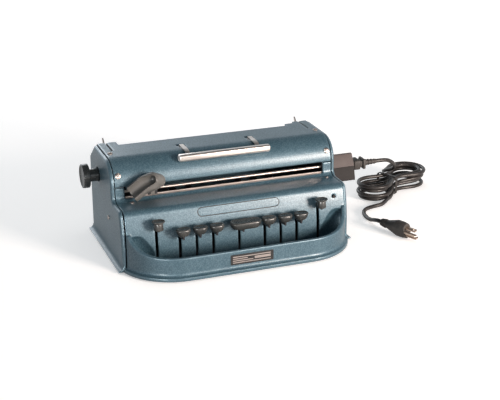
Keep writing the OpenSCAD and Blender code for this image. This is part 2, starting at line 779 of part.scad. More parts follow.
module margin_rail() color(steel)
    rod_x(-frame_x, frame_x, margin_d, margin_z, margin_rod);
stop_x = frame_in - slot_rim - 8;
stop_w = 12;
module margin_stop(x) difference() {
    union() {
        block(x - stop_w / 2, x + stop_w / 2, margin_d - 6, margin_d + 6, margin_z - 6, margin_z + 6);
        block(x - 4, x + 4, -6, margin_d - 5, margin_z - 1.5, margin_z + 1.5);
    }
    rod_x(x - stop_w, x + stop_w, margin_d, margin_z, margin_rod + 2 * run_gap);
}
module left_margin_stop() color(steel) margin_stop(-stop_x);
module right_margin_stop() color(steel) margin_stop(stop_x);

// toothed rack that the carriage's pawl catches, one tooth for each braille cell
cell_pitch = 6.2;
module carriage_rack() color(dark_steel) difference() {
    block(-frame_in, frame_in, rack_d - 3, rack_d + 3, rack_z, rack_z + 6);
    for (i = [-20:20]) block(i * cell_pitch - 1.5, i * cell_pitch + 1.5, rack_d + 1.5, rack_d + 4,
        rack_z - 1, rack_z + 7);
}

// carriage with its embossing head, parked at the left end
lever_x = -slot_half + 37;
carriage_x = lever_x - 9;
module carriage() color(dark_steel) difference() {
    union() {
        block(carriage_x - carriage_len / 2, carriage_x + carriage_len / 2, rear_rail_d - 5, rail_d + 4,
            rail_z - 4.5, rail_z + 6.5);
        // arm that reaches out of the slot, with ears for the lever's pin
        block(lever_x - 5, lever_x + 5, rail_d + 3, pin_d - 3.4, rail_z - 2.5, rail_z + 5);
        for (s = [-1, 1]) block(lever_x + s * 5 - 1.5, lever_x + s * 5 + 1.5, pin_d - 6, pin_d + 3,
            rail_z - 2.5, rail_z + 3.5);
        rod_x(lever_x - 6.5, lever_x + 6.5, pin_d, pin_z, pin_dia);
        // pawl towards the rack
        block(carriage_x - 3, carriage_x + 3, rack_d + 3.3, rear_rail_d - 4, rack_z + 0.5, rail_z + 6.5);
    }
    rod_x(-case_w, case_w, rail_d, rail_z, rail_dia + 2 * run_gap);
    rod_x(-case_w, case_w, rear_rail_d, rear_rail_z, rear_rail_dia + 2 * run_gap);
}
pin_d = slot_d + 6.5;
pin_z = rail_z;
pin_dia = 2.4;
// finger trough: a bent horn, its mouth at the left, rising to the right and curling over
trough_wall = 4;
trough_d = slot_d + 13;
trough_slope = 32;
trough_path = [
    [lever_x - 28, fwd(trough_d), rail_z + 4],
    [lever_x - 28 + 0.48 * trough_len, fwd(trough_d), rail_z + 14.5],
    [lever_x - 28 + 0.85 * trough_len, fwd(trough_d), rail_z + 17.3],
    [lever_x - 28 + 1.19 * trough_len, fwd(trough_d - 4), rail_z + 16]];
// a chain of balls along a path, each pair hulled
module horn(path, radii) {
    for (i = [1:len(path) - 1]) hull() for (k = [i - 1, i]) translate(path[k]) sphere(r = radii[k], $fn = 32);
}
module carriage_lever() color(charcoal) {
    r = trough_r + trough_wall;
    open = [-2, -6.5, 5];
    difference() {
        union() {
            intersection() {
                horn(trough_path, [r, r, r + 0.6, r - 3]);
                block(-case_w, case_w, slot_d + 3.4, slot_d + 24, ledge_z + 3.4, case_h - 12);
            }
            // neck down to the pin
            block(lever_x - 3.3, lever_x + 3.3, pin_d - 3, pin_d + 3, pin_z - 3, pin_z + 12);
        }
        horn([for (i = [-1:2]) i < 0 ? trough_path[0] + open - [12, 0, 9] : trough_path[i] + open],
            [trough_r, trough_r, trough_r, trough_r - 2]);
        // the mouth is cut square to the horn
        translate(trough_path[0]) rotate([0, -trough_slope, 0]) translate([-30 - 3.5, -30, -30])
            cube([30, 60, 60]);
        rod_x(lever_x - 12, lever_x + 12, pin_d, pin_z, pin_dia + 2 * run_gap);
        // room for the pin's ears
        for (s = [-1, 1]) block(lever_x + s * 5 - 1.8, lever_x + s * 5 + 1.8, pin_d - 8, pin_d + 4,
            pin_z - 9, pin_z + 5);
        block(lever_x - 7, lever_x + 7, pin_d - 8, pin_d - 3, pin_z - 9, pin_z + 6.5);
    }
}

// paper feed
module feed_knob() color(charcoal) {
    x = -case_w / 2 - hub_len - knob_t;
    difference() {
        union() {
            translate([x, fwd(roller_back), roller_z]) rotate([0, 90, 0]) {
                cylinder(h = 1, d1 = knob_dia - 2, d2 = knob_dia);
                translate([0, 0, 1]) cylinder(h = knob_t - 2, d = knob_dia);
                translate([0, 0, knob_t - 1]) cylinder(h = 1, d1 = knob_dia, d2 = knob_dia - 2);
            }
            rod_x(x + knob_t, -in_x - 1, roller_back, roller_z, hub_dia);
        }
        rod_x(x + 3, 0, roller_back, roller_z, feed_shaft_dia);
        // dished outer face
        rod_x(x - 1, x + 0.8, roller_back, roller_z, knob_dia - 8);
    }
}
ring_w = 18;
ring_pitch = 55;
module feed_roller() {
    color(steel) rod_x(-case_w / 2 - hub_len - knob_t + 3, frame_x + 4, roller_back, roller_z,
        feed_shaft_dia);
    color(rubber) for (i = [-2:2])
        rod_x(i * ring_pitch - ring_w / 2, i * ring_pitch + ring_w / 2, roller_back, roller_z, roller_dia);
}
ratchet_teeth = 18;
ratchet_r = 12;
module ratchet_gear() color(brass) difference() {
    translate([frame_in - 8, fwd(roller_back), roller_z]) rotate([90, 0, 90]) linear_extrude(3)
        polygon(wheel(ratchet_teeth, ratchet_r - 2, ratchet_r, 3, 1.2));
    rod_x(0, case_w, roller_back, roller_z, feed_shaft_dia);
}
// shaft with two levers and four pressure fingers
module release_levers() color(steel) {
    rod_x(-frame_x, frame_x, release_d, release_z, release_rod);
    for (s = [-1, 1]) along_x(s * release_x - release_t / 2, s * release_x + release_t / 2) {
        translate([fwd(release_d), release_z]) circle(r = release_hub);
        polygon([
            [fwd(release_d) - 4, release_z + 3], [fwd(release_d) + 5, release_z + 1],
            [fwd(15.5), release_z + 23], [fwd(10.5), release_z + 31], [fwd(8.5), release_z + 35.5],
            [fwd(10), release_z + 36], [fwd(15), release_z + 32], [fwd(20), release_z + 25]]);
    }
    for (x = [-82.5, -27.5, 27.5, 82.5]) along_x(x - 5, x + 5) {
        translate([fwd(release_d), release_z]) circle(r = 4.5);
        polygon([
            [fwd(release_d) + 4, release_z], [fwd(release_d) - 3, release_z - 3],
            [fwd(roller_back - 12.4), roller_z - 4.2], [fwd(roller_back - 13.6), roller_z - 6.4]]);
    }
}

// handle
bar_d = arc_d + 27.4;
bar_z = arc_z + 28.9;
module handle_bar() color(steel) {
    r = bar_t * 0.38;
    c = bar_t / 2 - r;
    along_x(-bar_len / 2, bar_len / 2) translate([fwd(bar_d), bar_z]) polygon(concat(
        arc([c, c], r, 90, 0, 6), arc([c, -c], r, 0, -90, 6),
        arc([-c, -c], r, -90, -180, 6), arc([-c, c], r, 180, 90, 6)));
}
module handle_straps() color(steel) {
    top = case_h + 0.3 + strap_t;
    for (s = [-1, 1]) along_x(s * strap_x - strap_w / 2, s * strap_x + strap_w / 2) {
        translate([fwd(strap_back), strap_z]) circle(r = strap_hub);
        polygon(strip([
            [fwd(bar_d - bar_t / 2), bar_z + bar_t / 2 - 2.2],
            [fwd(bar_d - bar_t / 2 - 6), top - 0.8],
            [fwd(bar_d - bar_t / 2 - 12), top],
            [fwd(strap_back - 1.4), top],
            [fwd(strap_back - 1.4), strap_z]], strap_t));
    }
    rod_x(-strap_x - 10.5, strap_x + 10.5, strap_back, strap_z, strap_rod);
}

// keys

// a key lever: a hub on the key shaft, a plate that runs forward and rises to the key at distance d, height z
module key_lever(x, d, z) color(dark_steel) difference() {
    union() {
        rod_x(x - hub_w / 2, x + hub_w / 2, key_shaft_back, key_shaft_z, key_hub);
        along_x(x - lever_t / 2, x + lever_t / 2) polygon([
            [fwd(key_shaft_back), key_shaft_z - 5], [fwd(key_shaft_back + 50), key_shaft_z + 2],
            [fwd(face_d - 12), z - 9], [fwd(d + 3), z - 5], [fwd(d + 3), z], [fwd(d - 3), z],
            [fwd(face_d - 16), z - 3], [fwd(key_shaft_back + 50), key_shaft_z + 11],
            [fwd(key_shaft_back), key_shaft_z + 6]]);
    }
    rod_x(x - hub_w, x + hub_w, key_shaft_back, key_shaft_z, key_shaft_dia + 2 * run_gap);
}
key_d = face_d + key_reach;
neck = 2.5;
// an oval pad that narrows downwards, on a short neck with a slit for the lever at x
module pad(x, w, d, top, h, aside = 0) {
    difference() {
        union() {
            hull() {
                translate([x + aside, fwd(key_d), top - 1.2]) oval(w - 5, d - 5, 1.2);
                translate([x + aside, fwd(key_d), top - 4]) oval(w, d, 1.6);
                translate([x + aside, fwd(key_d), top - h]) oval(w - 7, d - 5, 1);
            }
            translate([x - 3.5, fwd(key_d) - 4, top - h - neck]) cube([7, 8, neck + 1]);
        }
        block(x - lever_t / 2, x + lever_t / 2, key_d - 5, key_d + 3, top - h - neck - 1, top - h);
    }
}
// a flat stadium of width w and depth d
module oval(w, d, h) {
    k = (w - d) / 2;
    hull() for (s = [-1, 1]) translate([s * k, 0, 0]) cylinder(h = h, d = d, $fn = 32);
}
module dot_key(i) color(charcoal) pad(key_xs[i], dot_w, dot_d, dot_top, dot_h);
module dot_lever(i) key_lever(key_xs[i], key_d, dot_top - dot_h);
module dot_key_1() dot_key(0);
module dot_key_2() dot_key(1);
module dot_key_3() dot_key(2);
module dot_key_4() dot_key(3);
module dot_key_5() dot_key(4);
module dot_key_6() dot_key(5);
module dot_lever_1() dot_lever(0);
module dot_lever_2() dot_lever(1);
module dot_lever_3() dot_lever(2);
module dot_lever_4() dot_lever(3);
module dot_lever_5() dot_lever(4);
module dot_lever_6() dot_lever(5);
space_aside = 3.5;
module spacebar() color(charcoal) pad(0, space_w, space_d, space_top, dot_h, space_aside);
module space_lever() key_lever(0, key_d, space_top - dot_h);

// a side key: a flat oval head on a round stem
tee_key_d = face_d + 9;
tee_h = 12.5;
module tee_key(x) color(charcoal) difference() {
    union() {
        translate([x, fwd(tee_key_d), tee_top - 3]) oval(tee_w, tee_d, 3);
        translate([x, fwd(tee_key_d), tee_top - tee_h]) cylinder(h = tee_h - 2, d = tee_stem);
    }
    block(x - lever_t / 2, x + lever_t / 2, tee_key_d - tee_stem, tee_key_d + 3, tee_top - tee_h - 1,
        tee_top - tee_h + neck);
}
module line_space_key() tee_key(-side_key_x);
module backspace_key() tee_key(side_key_x);
module line_space_lever() key_lever(-side_key_x, tee_key_d, tee_top - tee_h + neck);
module backspace_lever() key_lever(side_key_x, tee_key_d, tee_top - tee_h + neck);

// mains cord

cord_r = cord_dia / 2;
// where the plug's relief begins, and the way the plug points
plug_turn = -67;
plug_roll = -75;
plug_dir = [cos(plug_turn), sin(plug_turn), 0];
plug_z = 12.6;
plug_at = [227.3, -39.1, plug_z];
grip_at = 2.5;
grip_len = 13;
waist_len = 4.5;
relief_at = 22;
relief_len = 21;
relief_x = case_w / 2 + box_len + relief_at + relief_len;
module grip_block(x0, x1, w, h) {
    block(x0, x1, inlet_d - w / 2, inlet_d + w / 2, inlet_z - h / 2, inlet_z + h / 2);
}
module iec_connector() color(rubber) {
    x0 = case_w / 2 + box_len;
    along_x(x0 - socket_deep + 0.5, x0 + grip_at + 1) inlet_shape(0);
    // grip, waist and flange
    grip_block(x0 + grip_at, x0 + grip_len, plug_w + 2.5, plug_h + 1.5);
    grip_block(x0 + grip_len, x0 + grip_len + waist_len, 14, 10);
    grip_block(x0 + grip_len + waist_len, x0 + relief_at, plug_w + 2, plug_h + 2);
    // ribbed relief
    translate([x0 + relief_at, fwd(inlet_d), inlet_z]) rotate([0, 90, 0])
        cylinder(h = relief_len, d1 = cord_dia + 3, d2 = cord_dia + 1.4);
    for (i = [0:2]) rod_x(x0 + relief_at + 2 + i * 6, x0 + relief_at + 5.4 + i * 6, inlet_d, inlet_z,
        cord_dia + 4.6 - i);
}

// a tube of radius r with flat ends along a list of points
function unit(v) = v / norm(v);
function along(p, i) = unit(p[min(i + 1, len(p) - 1)] - p[max(i - 1, 0)]);
module tube(p, r, sides) {
    n = len(p);
    rings = [for (i = [0:n - 1]) let (t = along(p, i), s = unit(cross(t, [0, 0, 1])), u = cross(s, t))
        for (k = [0:sides - 1]) let (a = 360 * k / sides) p[i] + r * (cos(a) * s + sin(a) * u)];
    polyhedron(rings, concat(
        [[for (k = [sides - 1:-1:0]) k]],
        [for (i = [0:n - 2]) for (k = [0:sides - 1]) let (m = (k + 1) % sides)
            let (a = i * sides + k, b = a + sides, c = (i + 1) * sides + m, d = i * sides + m)
            for (t = [[a, c, b], [a, d, c]]) t],
        [[for (k = [0:sides - 1]) (n - 1) * sides + k]]));
}

// the hank: loops like a dog bone in four layers, spiralling in, out, in and out again
hank_c = [313, 104];
hank_turn = 26;
hank_start = 0.755;
hank_climbs = [1.12, 2.12, 3.12];
hank_loops = 4.54;
lobe_c = 42;
lobe_r = 18.5;
waist = 4;
loop_step = 7.8;
layer_step = 6.8;
loop_rings = 24;
tie_t = 0.9;
hank_z = cord_r + tie_t + 0.3;
function run_v(u, b, w) = w + (b - w) * (1 - cos(180 * u / lobe_c)) / 2;
function loop_uv(p, b, w) =
    p < 0.25 ? [lobe_c + b * cos(720 * p - 90), b * sin(720 * p - 90)] :
    p < 0.5 ? let (u = lobe_c - 8 * lobe_c * (p - 0.25)) [u, run_v(u, b, w)] :
    p < 0.75 ? [-lobe_c + b * cos(720 * p - 270), b * sin(720 * p - 270)] :
    let (u = -lobe_c + 8 * lobe_c * (p - 0.75)) [u, -run_v(u, b, w)];
function rise(t) = t <= 0 ? 0 : t >= 1 ? 1 : t * t * (3 - 2 * t);
function climbed(s, i) = i < 0 ? 0 : rise((s - hank_climbs[i]) / 0.25 + 0.5) + climbed(s, i - 1);
function hank_at(s) =
    let (k = min(abs(s - hank_climbs[0]), abs(s - hank_climbs[2])), p = hank_start + s,
         uv = loop_uv(p - floor(p), lobe_r + loop_step * k, waist + loop_step * k))
    [hank_c[0] + uv[0] * cos(hank_turn) - uv[1] * sin(hank_turn),
     hank_c[1] + uv[0] * sin(hank_turn) + uv[1] * cos(hank_turn),
     hank_z + layer_step * climbed(s, 2)];
hank_mid = [for (i = [0:round(hank_loops * loop_rings)]) hank_at(i / loop_rings)];
hank_in = hank_mid[0] + cord_dia * unit(hank_mid[0] - hank_mid[1]);
hank_end = hank_mid[len(hank_mid) - 1];
hank_out = hank_end + cord_dia * unit(hank_end - hank_mid[len(hank_mid) - 2]);
hank_route = concat([hank_in], hank_mid, [hank_out]);
// least gap between passes that are more than a third of a loop apart along the cord
hank_gap = min([for (i = [0:len(hank_mid) - 1]) for (j = [i + 8:1:len(hank_mid) - 1])
    norm(hank_mid[i] - hank_mid[j])]) - cord_dia;
echo(hank_gap = hank_gap);

lead_route = concat([
    [relief_x, fwd(inlet_d), inlet_z], [relief_x + 10, fwd(inlet_d), inlet_z],
    [285, 62.5, 67.5], [294, 66, 62.5], [301.5, 72, 56], [307, 80, 49.5], [309.5, 88.5, 43.5],
    [309.5, 97, 38.5], [307.5, 105.5, 34.5], [307.5, 114, 30.5], [310, 121.8, 27]],
    [hank_out + 9 * unit(hank_out - hank_end), hank_out]);
tail_route = concat([hank_in, hank_in + 9 * unit(hank_in - hank_mid[0])], [
    [269, 45, 3.6], [257, 43, 3], [246, 40, 3], [236.5, 34.5, 3], [230, 25.5, 3], [226.5, 14, 3],
    [225, 2, 3.4], [224.3, -10, 5.6], [224, -21.5, 9.4]],
    [plug_at - 7 * plug_dir, plug_at]);
module cord_lead() color(rubber) tube(lead_route, cord_r, 8);
module cord_tail() color(rubber) tube(tail_route, cord_r, 8);
module cord_hank() color(rubber) tube(hank_route, cord_r, 6);
// tie round the waist
tie_w = 5;
tie_half = 18.6;
tie_u = -8;
tie_top = hank_z + 3 * layer_step + cord_r + 0.3 + tie_t;
// a rectangle with rounded corners, from x = -w to w and y = y0 to y1
module rounded(w, y0, y1, r) {
    translate([-w + r, y0]) square([2 * (w - r), y1 - y0]);
    translate([-w, y0 + r]) square([2 * w, y1 - y0 - 2 * r]);
    for (x = [-w + r, w - r]) for (y = [y0 + r, y1 - r]) translate([x, y]) circle(r = r);
}
module cord_tie() color(black) translate([hank_c[0], hank_c[1], 0]) rotate([90, 0, hank_turn + 90])
    translate([0, 0, tie_u - tie_w / 2]) linear_extrude(tie_w) difference() {
        rounded(tie_half, 0, tie_top, 4);
        rounded(tie_half - tie_t, tie_t, tie_top - tie_t, 4 - tie_t);
    }

// plug, lying on its narrow side on the table
module at_plug() translate(plug_at) rotate([0, 0, plug_turn]) rotate([plug_roll, 0, 0]) children();
plug_end = 48;
module plug_body() color(rubber) at_plug() rotate([0, 90, 0]) {
    cylinder(h = 13, d1 = cord_dia + 4, d2 = cord_dia + 6);
    hull() {
        translate([0, 0, 12]) cylinder(h = 3, d = cord_dia + 6, $fn = 32);
        translate([0, 0, 31]) rotate(90) oval(25, 17, 10);
        translate([0, 0, plug_end - 1]) rotate(90) oval(23, 15, 1);
    }
}
module plug_blades() color(brass) at_plug() {
    for (s = [-1, 1]) translate([plug_end, s * 6.35 - 0.75, -3.2 + 2]) cube([18, 1.5, 6.4]);
    translate([plug_end, 0, -4.5]) rotate([0, 90, 0]) cylinder(h = 21, d = 4.8);
}

base_plate();
rubber_feet();
left_side_panel();
right_side_panel();
front_casting();
top_cover();
rear_panel();
inner_frames();
label_plate();
case_screws();
indicator_lamp();
head_rails();
paper_guide();
paper_table();
key_shaft();
key_springs();
drive_motor();
power_box();
power_box_lid();
power_inlet();
bell();
margin_rail();
carriage_rack();
motor_pinion();
cam_shaft();
left_margin_stop();
right_margin_stop();
carriage();
carriage_lever();
feed_knob();
feed_roller();
ratchet_gear();
release_levers();
handle_bar();
handle_straps();
dot_key_1();
dot_key_2();
dot_key_3();
dot_key_4();
dot_key_5();
dot_key_6();
dot_lever_1();
dot_lever_2();
dot_lever_3();
dot_lever_4();
dot_lever_5();
dot_lever_6();
spacebar();
space_lever();
line_space_key();
line_space_lever();
backspace_key();
backspace_lever();
iec_connector();
cord_lead();
cord_hank();
cord_tie();
cord_tail();
plug_body();
plug_blades();
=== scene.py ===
"""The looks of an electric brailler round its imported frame, laid out as an add-on and run as a script."""

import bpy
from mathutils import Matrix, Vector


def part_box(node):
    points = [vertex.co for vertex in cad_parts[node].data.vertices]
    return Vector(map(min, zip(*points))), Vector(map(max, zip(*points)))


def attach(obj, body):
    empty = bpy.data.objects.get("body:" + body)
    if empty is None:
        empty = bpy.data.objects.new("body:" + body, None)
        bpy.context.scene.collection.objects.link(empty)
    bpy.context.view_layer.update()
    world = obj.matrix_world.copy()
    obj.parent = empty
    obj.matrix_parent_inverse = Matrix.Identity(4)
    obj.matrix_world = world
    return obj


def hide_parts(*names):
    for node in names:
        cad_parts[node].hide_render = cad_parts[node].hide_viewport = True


bl_info = {
    "name": "Electric Brailler",
    "version": (1, 0, 0),
    "blender": (4, 5, 0),
    "location": "3D Viewport > Sidebar > Brailler",
    "description": "Builds the visible pieces of an electric brailler round its packed CAD frame",
    "category": "Object",
}

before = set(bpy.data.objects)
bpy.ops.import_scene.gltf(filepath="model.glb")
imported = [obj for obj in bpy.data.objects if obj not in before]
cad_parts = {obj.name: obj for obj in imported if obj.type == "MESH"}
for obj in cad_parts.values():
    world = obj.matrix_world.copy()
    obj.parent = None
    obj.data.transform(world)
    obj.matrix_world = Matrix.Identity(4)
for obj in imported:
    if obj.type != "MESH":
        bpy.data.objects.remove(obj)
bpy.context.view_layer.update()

import math

import bmesh
import bpy
import numpy as np
from bpy.props import FloatProperty, FloatVectorProperty, IntProperty, PointerProperty
from mathutils import Vector

MM = 0.001
SIDES = (-1, 1)
FINISHES = {}

# Places that part.scad gives, in millimetres: Y of the rear edge, and distances in front of it.
REAR_Y = 113.5
FACE_D = 173
FACE_R, FACE_Z = 200, 20
BROW_R, LEDGE_Z = 10, 84
BADGE_LEN, BADGE_H, BADGE_X, BADGE_Z = 119, 12.5, 1.5, 72


def mm(*numbers):
    """A point given in millimetres, in metres."""
    return Vector(numbers) * MM


def fwd(distance):
    """Y of a place at that distance in front of the rear edge, in millimetres."""
    return REAR_Y - distance


# Sizes and colours that a user would change


def colour(name, default, text):
    return FloatVectorProperty(
        name=name, description=text, subtype="COLOR", size=3, min=0, max=1, default=default
    )


def length(name, default, text):
    return FloatProperty(name=name, description=text, unit="LENGTH", subtype="DISTANCE", default=default)


class BraillerPaint(bpy.types.PropertyGroup):
    """Hammertone paint of the case."""

    light: colour("Light", (0.105, 0.178, 0.222), "Colour of the raised pools")
    dark: colour("Dark", (0.018, 0.06, 0.088), "Colour between the pools")
    pool: length("Pool", 0.0016, "Width of a pool of the hammered pattern")
    dent: length("Dent", 0.00009, "Depth of the hammered pattern")


class BraillerCasting(bpy.types.PropertyGroup):
    """How the castings are rounded over."""

    voxel: length("Voxel", 0.0009, "Grid on which the castings are rounded")
    passes: IntProperty(name="Passes", description="Smoothing passes over a casting", default=6, min=0)
    faces: IntProperty(name="Triangles", description="Most triangles of a casting", default=180000, min=1000)


class BraillerKeys(bpy.types.PropertyGroup):
    """Key caps."""

    plastic: colour("Plastic", (0.035, 0.038, 0.038), "Colour of the key caps")
    dish: length("Dish", 0.0009, "Depth of the dish in a key cap")


class BraillerCord(bpy.types.PropertyGroup):
    """Mains cord."""

    diameter: length("Diameter", 0.006, "Diameter of the mains cord")
    jacket: colour("Jacket", (0.02, 0.017, 0.016), "Colour of the cord's jacket")


class BraillerStage(bpy.types.PropertyGroup):
    """Camera and light."""

    lens: FloatProperty(name="Lens", description="Focal length", unit="CAMERA", default=86.31)
    key: FloatProperty(name="Key", description="Power of the key lamp", unit="POWER", default=102)
    fill: FloatProperty(name="Fill", description="Power of the soft box in front", unit="POWER", default=4)
    rim: FloatProperty(name="Rim", description="Power of the low light in the rims", unit="POWER", default=45)
    back: FloatProperty(name="Back", description="Power of the soft box behind", unit="POWER", default=24)
    top: FloatProperty(name="Top", description="Power of the soft light from above", unit="POWER", default=16)
    sky: FloatProperty(name="Sky", description="Strength of the surroundings", default=0.4)
    lift: FloatProperty(name="Lift", description="How far the seen floor is lifted to white", default=0.44)


GROUPS = {
    "brailler_paint": BraillerPaint,
    "brailler_casting": BraillerCasting,
    "brailler_keys": BraillerKeys,
    "brailler_cord": BraillerCord,
    "brailler_stage": BraillerStage,
}


# Modelling by hand


def only(obj):
    """Leaves nothing but obj selected, and makes it active."""
    bpy.ops.object.select_all(action="DESELECT")
    obj.select_set(True)
    bpy.context.view_layer.objects.active = obj
    return obj


def settled(obj):
    """Moves the place of obj into its mesh."""
    only(obj)
    bpy.ops.object.transform_apply(location=True, rotation=True, scale=True)
    return obj


def added(name):
    """Names the primitive that was just added, and moves its place into its mesh."""
    obj = bpy.context.object
    obj.name = obj.data.name = name
    return settled(obj)


def corners(node):
    """The lowest and highest corners of a CAD node, in millimetres."""
    return [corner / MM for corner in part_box(node)]


def curve(name, points, thickness, resolution):
    """A round line of one open spline through points, in millimetres."""
    line = bpy.data.curves.new(name, "CURVE")
    line.dimensions = "3D"
    spline = line.splines.new("POLY")
    spline.points.add(len(points) - 1)
    for point, place in zip(spline.points, points):
        point.co = (*mm(*place), 1)
    line.bevel_depth = thickness / 2 * MM
    line.bevel_resolution = resolution
    obj = bpy.data.objects.new(name, line)
    bpy.context.scene.collection.objects.link(obj)
    return obj


def meshed(obj):
    """Turns a curve into a mesh."""
    only(obj)
    bpy.ops.object.convert(target="MESH")
    return bpy.context.object


def block(name, low, high):
    """A block between two corners, in millimetres."""
    low, high = mm(*low), mm(*high)
    bpy.ops.mesh.primitive_cube_add(size=1, location=(low + high) / 2, scale=high - low)
    return added(name)


def rod(name, start, end, radius, end_radius=None, sides=48):
    """A rod or cone between two points, in millimetres."""
    start, end = mm(*start), mm(*end)
    axis = end - start
    bpy.ops.mesh.primitive_cone_add(
        vertices=sides,
        radius1=radius * MM,
        radius2=(radius if end_radius is None else end_radius) * MM,
        depth=axis.length,
        location=(start + end) / 2,
        rotation=axis.to_track_quat("Z", "Y").to_euler(),
    )
    return added(name)


def pick(obj, kind, test):
    """Selects the VERT, EDGE or FACE items of obj that pass a test, and stays in edit mode."""
    if bpy.context.mode != "EDIT_MESH":
        only(obj)
        bpy.ops.object.mode_set(mode="EDIT")
    bpy.ops.mesh.select_all(action="DESELECT")
    bpy.ops.mesh.select_mode(type=kind)
    shape = bmesh.from_edit_mesh(obj.data)
    shape.normal_update()
    for item in {"VERT": shape.verts, "EDGE": shape.edges, "FACE": shape.faces}[kind]:
        item.select_set(bool(test(item)))
    bmesh.update_edit_mesh(obj.data)


def pick_all(obj):
    """Selects the whole mesh of obj in edit mode."""
    only(obj)
    bpy.ops.object.mode_set(mode="EDIT")
    bpy.ops.mesh.select_all(action="SELECT")


def end_edit():
    bpy.ops.object.mode_set(mode="OBJECT")


def faces_towards(direction, limit=0.9):
    direction = Vector(direction)
    return lambda face: face.normal.dot(direction) > limit


def edges_along(direction):
    direction = Vector(direction)
    return lambda edge: abs((edge.verts[0].co - edge.verts[1].co).normalized().dot(direction)) > 0.99


def middle_of(obj):
    """The middle of the selected vertices of obj in edit mode."""
    chosen = [v.co for v in bmesh.from_edit_mesh(obj.data).verts if v.select]
    return sum(chosen, Vector()) / len(chosen)


def grow(obj, x=1, y=1, z=1):
    """Scales the selection about its own middle."""
    bpy.ops.transform.resize(value=(x, y, z), center_override=middle_of(obj))


def shift(x=0, y=0, z=0):
    """Moves the selection, in millimetres."""
    bpy.ops.transform.translate(value=mm(x, y, z))


def extrude(x=0, y=0, z=0):
    bpy.ops.mesh.extrude_region_move(TRANSFORM_OT_translate={"value": mm(x, y, z)})


def inset(width):
    bpy.ops.mesh.inset(thickness=width * MM)


def bevel(width, segments):
    bpy.ops.mesh.bevel(offset=width * MM, segments=segments, affect="EDGES")


def modifier(obj, kind, **settings):
    """Adds a modifier and applies it."""
    only(obj)
    added_one = obj.modifiers.new(kind.lower(), kind)
    for key, value in settings.items():
        setattr(added_one, key, value)
    bpy.ops.object.modifier_apply(modifier=added_one.name)
    return obj


def round_edges(obj, width, segments=3, angle=30):
    """Rounds the sharp edges of obj, width in millimetres."""
    limit = {"limit_method": "ANGLE", "angle_limit": math.radians(angle)}
    return modifier(obj, "BEVEL", width=width * MM, segments=segments, **limit)


def cut(obj, tool):
    """Takes tool away from obj and removes the tool."""
    modifier(obj, "BOOLEAN", operation="DIFFERENCE", object=tool, solver="EXACT")
    bpy.data.objects.remove(tool)
    return obj


def joined(name, parts):
    """Joins parts into one object."""
    bpy.ops.object.select_all(action="DESELECT")
    for part in parts:
        part.select_set(True)
    bpy.context.view_layer.objects.active = parts[0]
    bpy.ops.object.join()
    obj = bpy.context.object
    obj.name = obj.data.name = name
    return obj


def turned(obj, angle, axis, centre):
    """Turns obj by angle degrees about an axis through a point in millimetres."""
    pick_all(obj)
    # With no window, rotate turns the other way.
    bpy.ops.transform.rotate(value=-math.radians(angle), orient_axis=axis, center_override=mm(*centre))
    end_edit()
    return obj


def piece(obj, body, finish, nodes=(), smooth=35):
    """Shades and paints a finished piece, sets it on its body and lets it stand for CAD nodes."""
    only(obj)
    if obj.type == "MESH" and smooth:
        bpy.ops.object.shade_smooth_by_angle(angle=math.radians(smooth))
    obj.data.materials.clear()
    obj.data.materials.append(FINISHES[finish])
    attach(obj, body)
    if nodes:
        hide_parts(*nodes)
    return obj


def copy_of(node, name):
    """A merged copy of a CAD node's mesh."""
    obj = bpy.data.objects.new(name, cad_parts[node].data.copy())
    bpy.context.scene.collection.objects.link(obj)
    only(obj)
    bpy.ops.mesh.customdata_custom_splitnormals_clear()
    pick_all(obj)
    bpy.ops.mesh.remove_doubles(threshold=0.00001)
    end_edit()
    return obj


def rounded_copy(node, name, voxel, passes, faces):
    """A copy of a CAD node, rounded over as a casting or moulding is."""
    obj = copy_of(node, name)
    modifier(obj, "REMESH", mode="VOXEL", voxel_size=voxel, adaptivity=0)
    if passes:
        modifier(obj, "SMOOTH", factor=0.5, iterations=passes)
    count = 2 * len(obj.data.polygons)
    if count > faces:
        modifier(obj, "DECIMATE", ratio=faces / count)
    mark_rims(obj)
    return obj


def mark_rims(obj):
    """Writes how convex each point is to the attribute rim, from 0 on flats and hollows to 1 on edges."""
    mesh = obj.data
    places = np.empty(3 * len(mesh.vertices), np.float32)
    normals = np.empty_like(places)
    ends = np.empty(2 * len(mesh.edges), np.int32)
    mesh.vertices.foreach_get("co", places)
    mesh.vertices.foreach_get("normal", normals)
    mesh.edges.foreach_get("vertices", ends)
    places, normals, ends = places.reshape(-1, 3), normals.reshape(-1, 3), ends.reshape(-1, 2)
    way = places[ends[:, 1]] - places[ends[:, 0]]
    way /= np.maximum(np.linalg.norm(way, axis=1, keepdims=True), 1e-9)
    convex = np.zeros(len(places))
    count = np.zeros(len(places))
    for near, sign in ((0, -1), (1, 1)):
        np.add.at(convex, ends[:, near], sign * (way * normals[ends[:, near]]).sum(1))
        np.add.at(count, ends[:, near], 1)
    convex /= np.maximum(count, 1)
    for _ in range(4):
        spread = np.zeros_like(convex)
        np.add.at(spread, ends[:, 0], convex[ends[:, 1]])
        np.add.at(spread, ends[:, 1], convex[ends[:, 0]])
        convex = 0.5 * convex + 0.5 * spread / np.maximum(count, 1)
    rim = np.clip(convex / 0.12, 0, 1)
    mesh.attributes.new("rim", "FLOAT", "POINT").data.foreach_set("value", rim.astype(np.float32))


# Finishes


def put(tree, kind, inputs=None, **settings):
    """Adds a shader node with its settings, and with values or links for its inputs."""
    node = tree.nodes.new("ShaderNode" + kind)
    for key, value in settings.items():
        setattr(node, key, value)
    for key, value in (inputs or {}).items():
        if isinstance(value, bpy.types.NodeSocket):
            tree.links.new(value, node.inputs[key])
        else:
            node.inputs[key].default_value = value
    return node


def rgba(values):
    return (*values, 1)


def blended(tree, share, first, second):
    """The colour between two colours."""
    return put(tree, "Mix", {0: share, 6: first, 7: second}, data_type="RGBA").outputs[2]


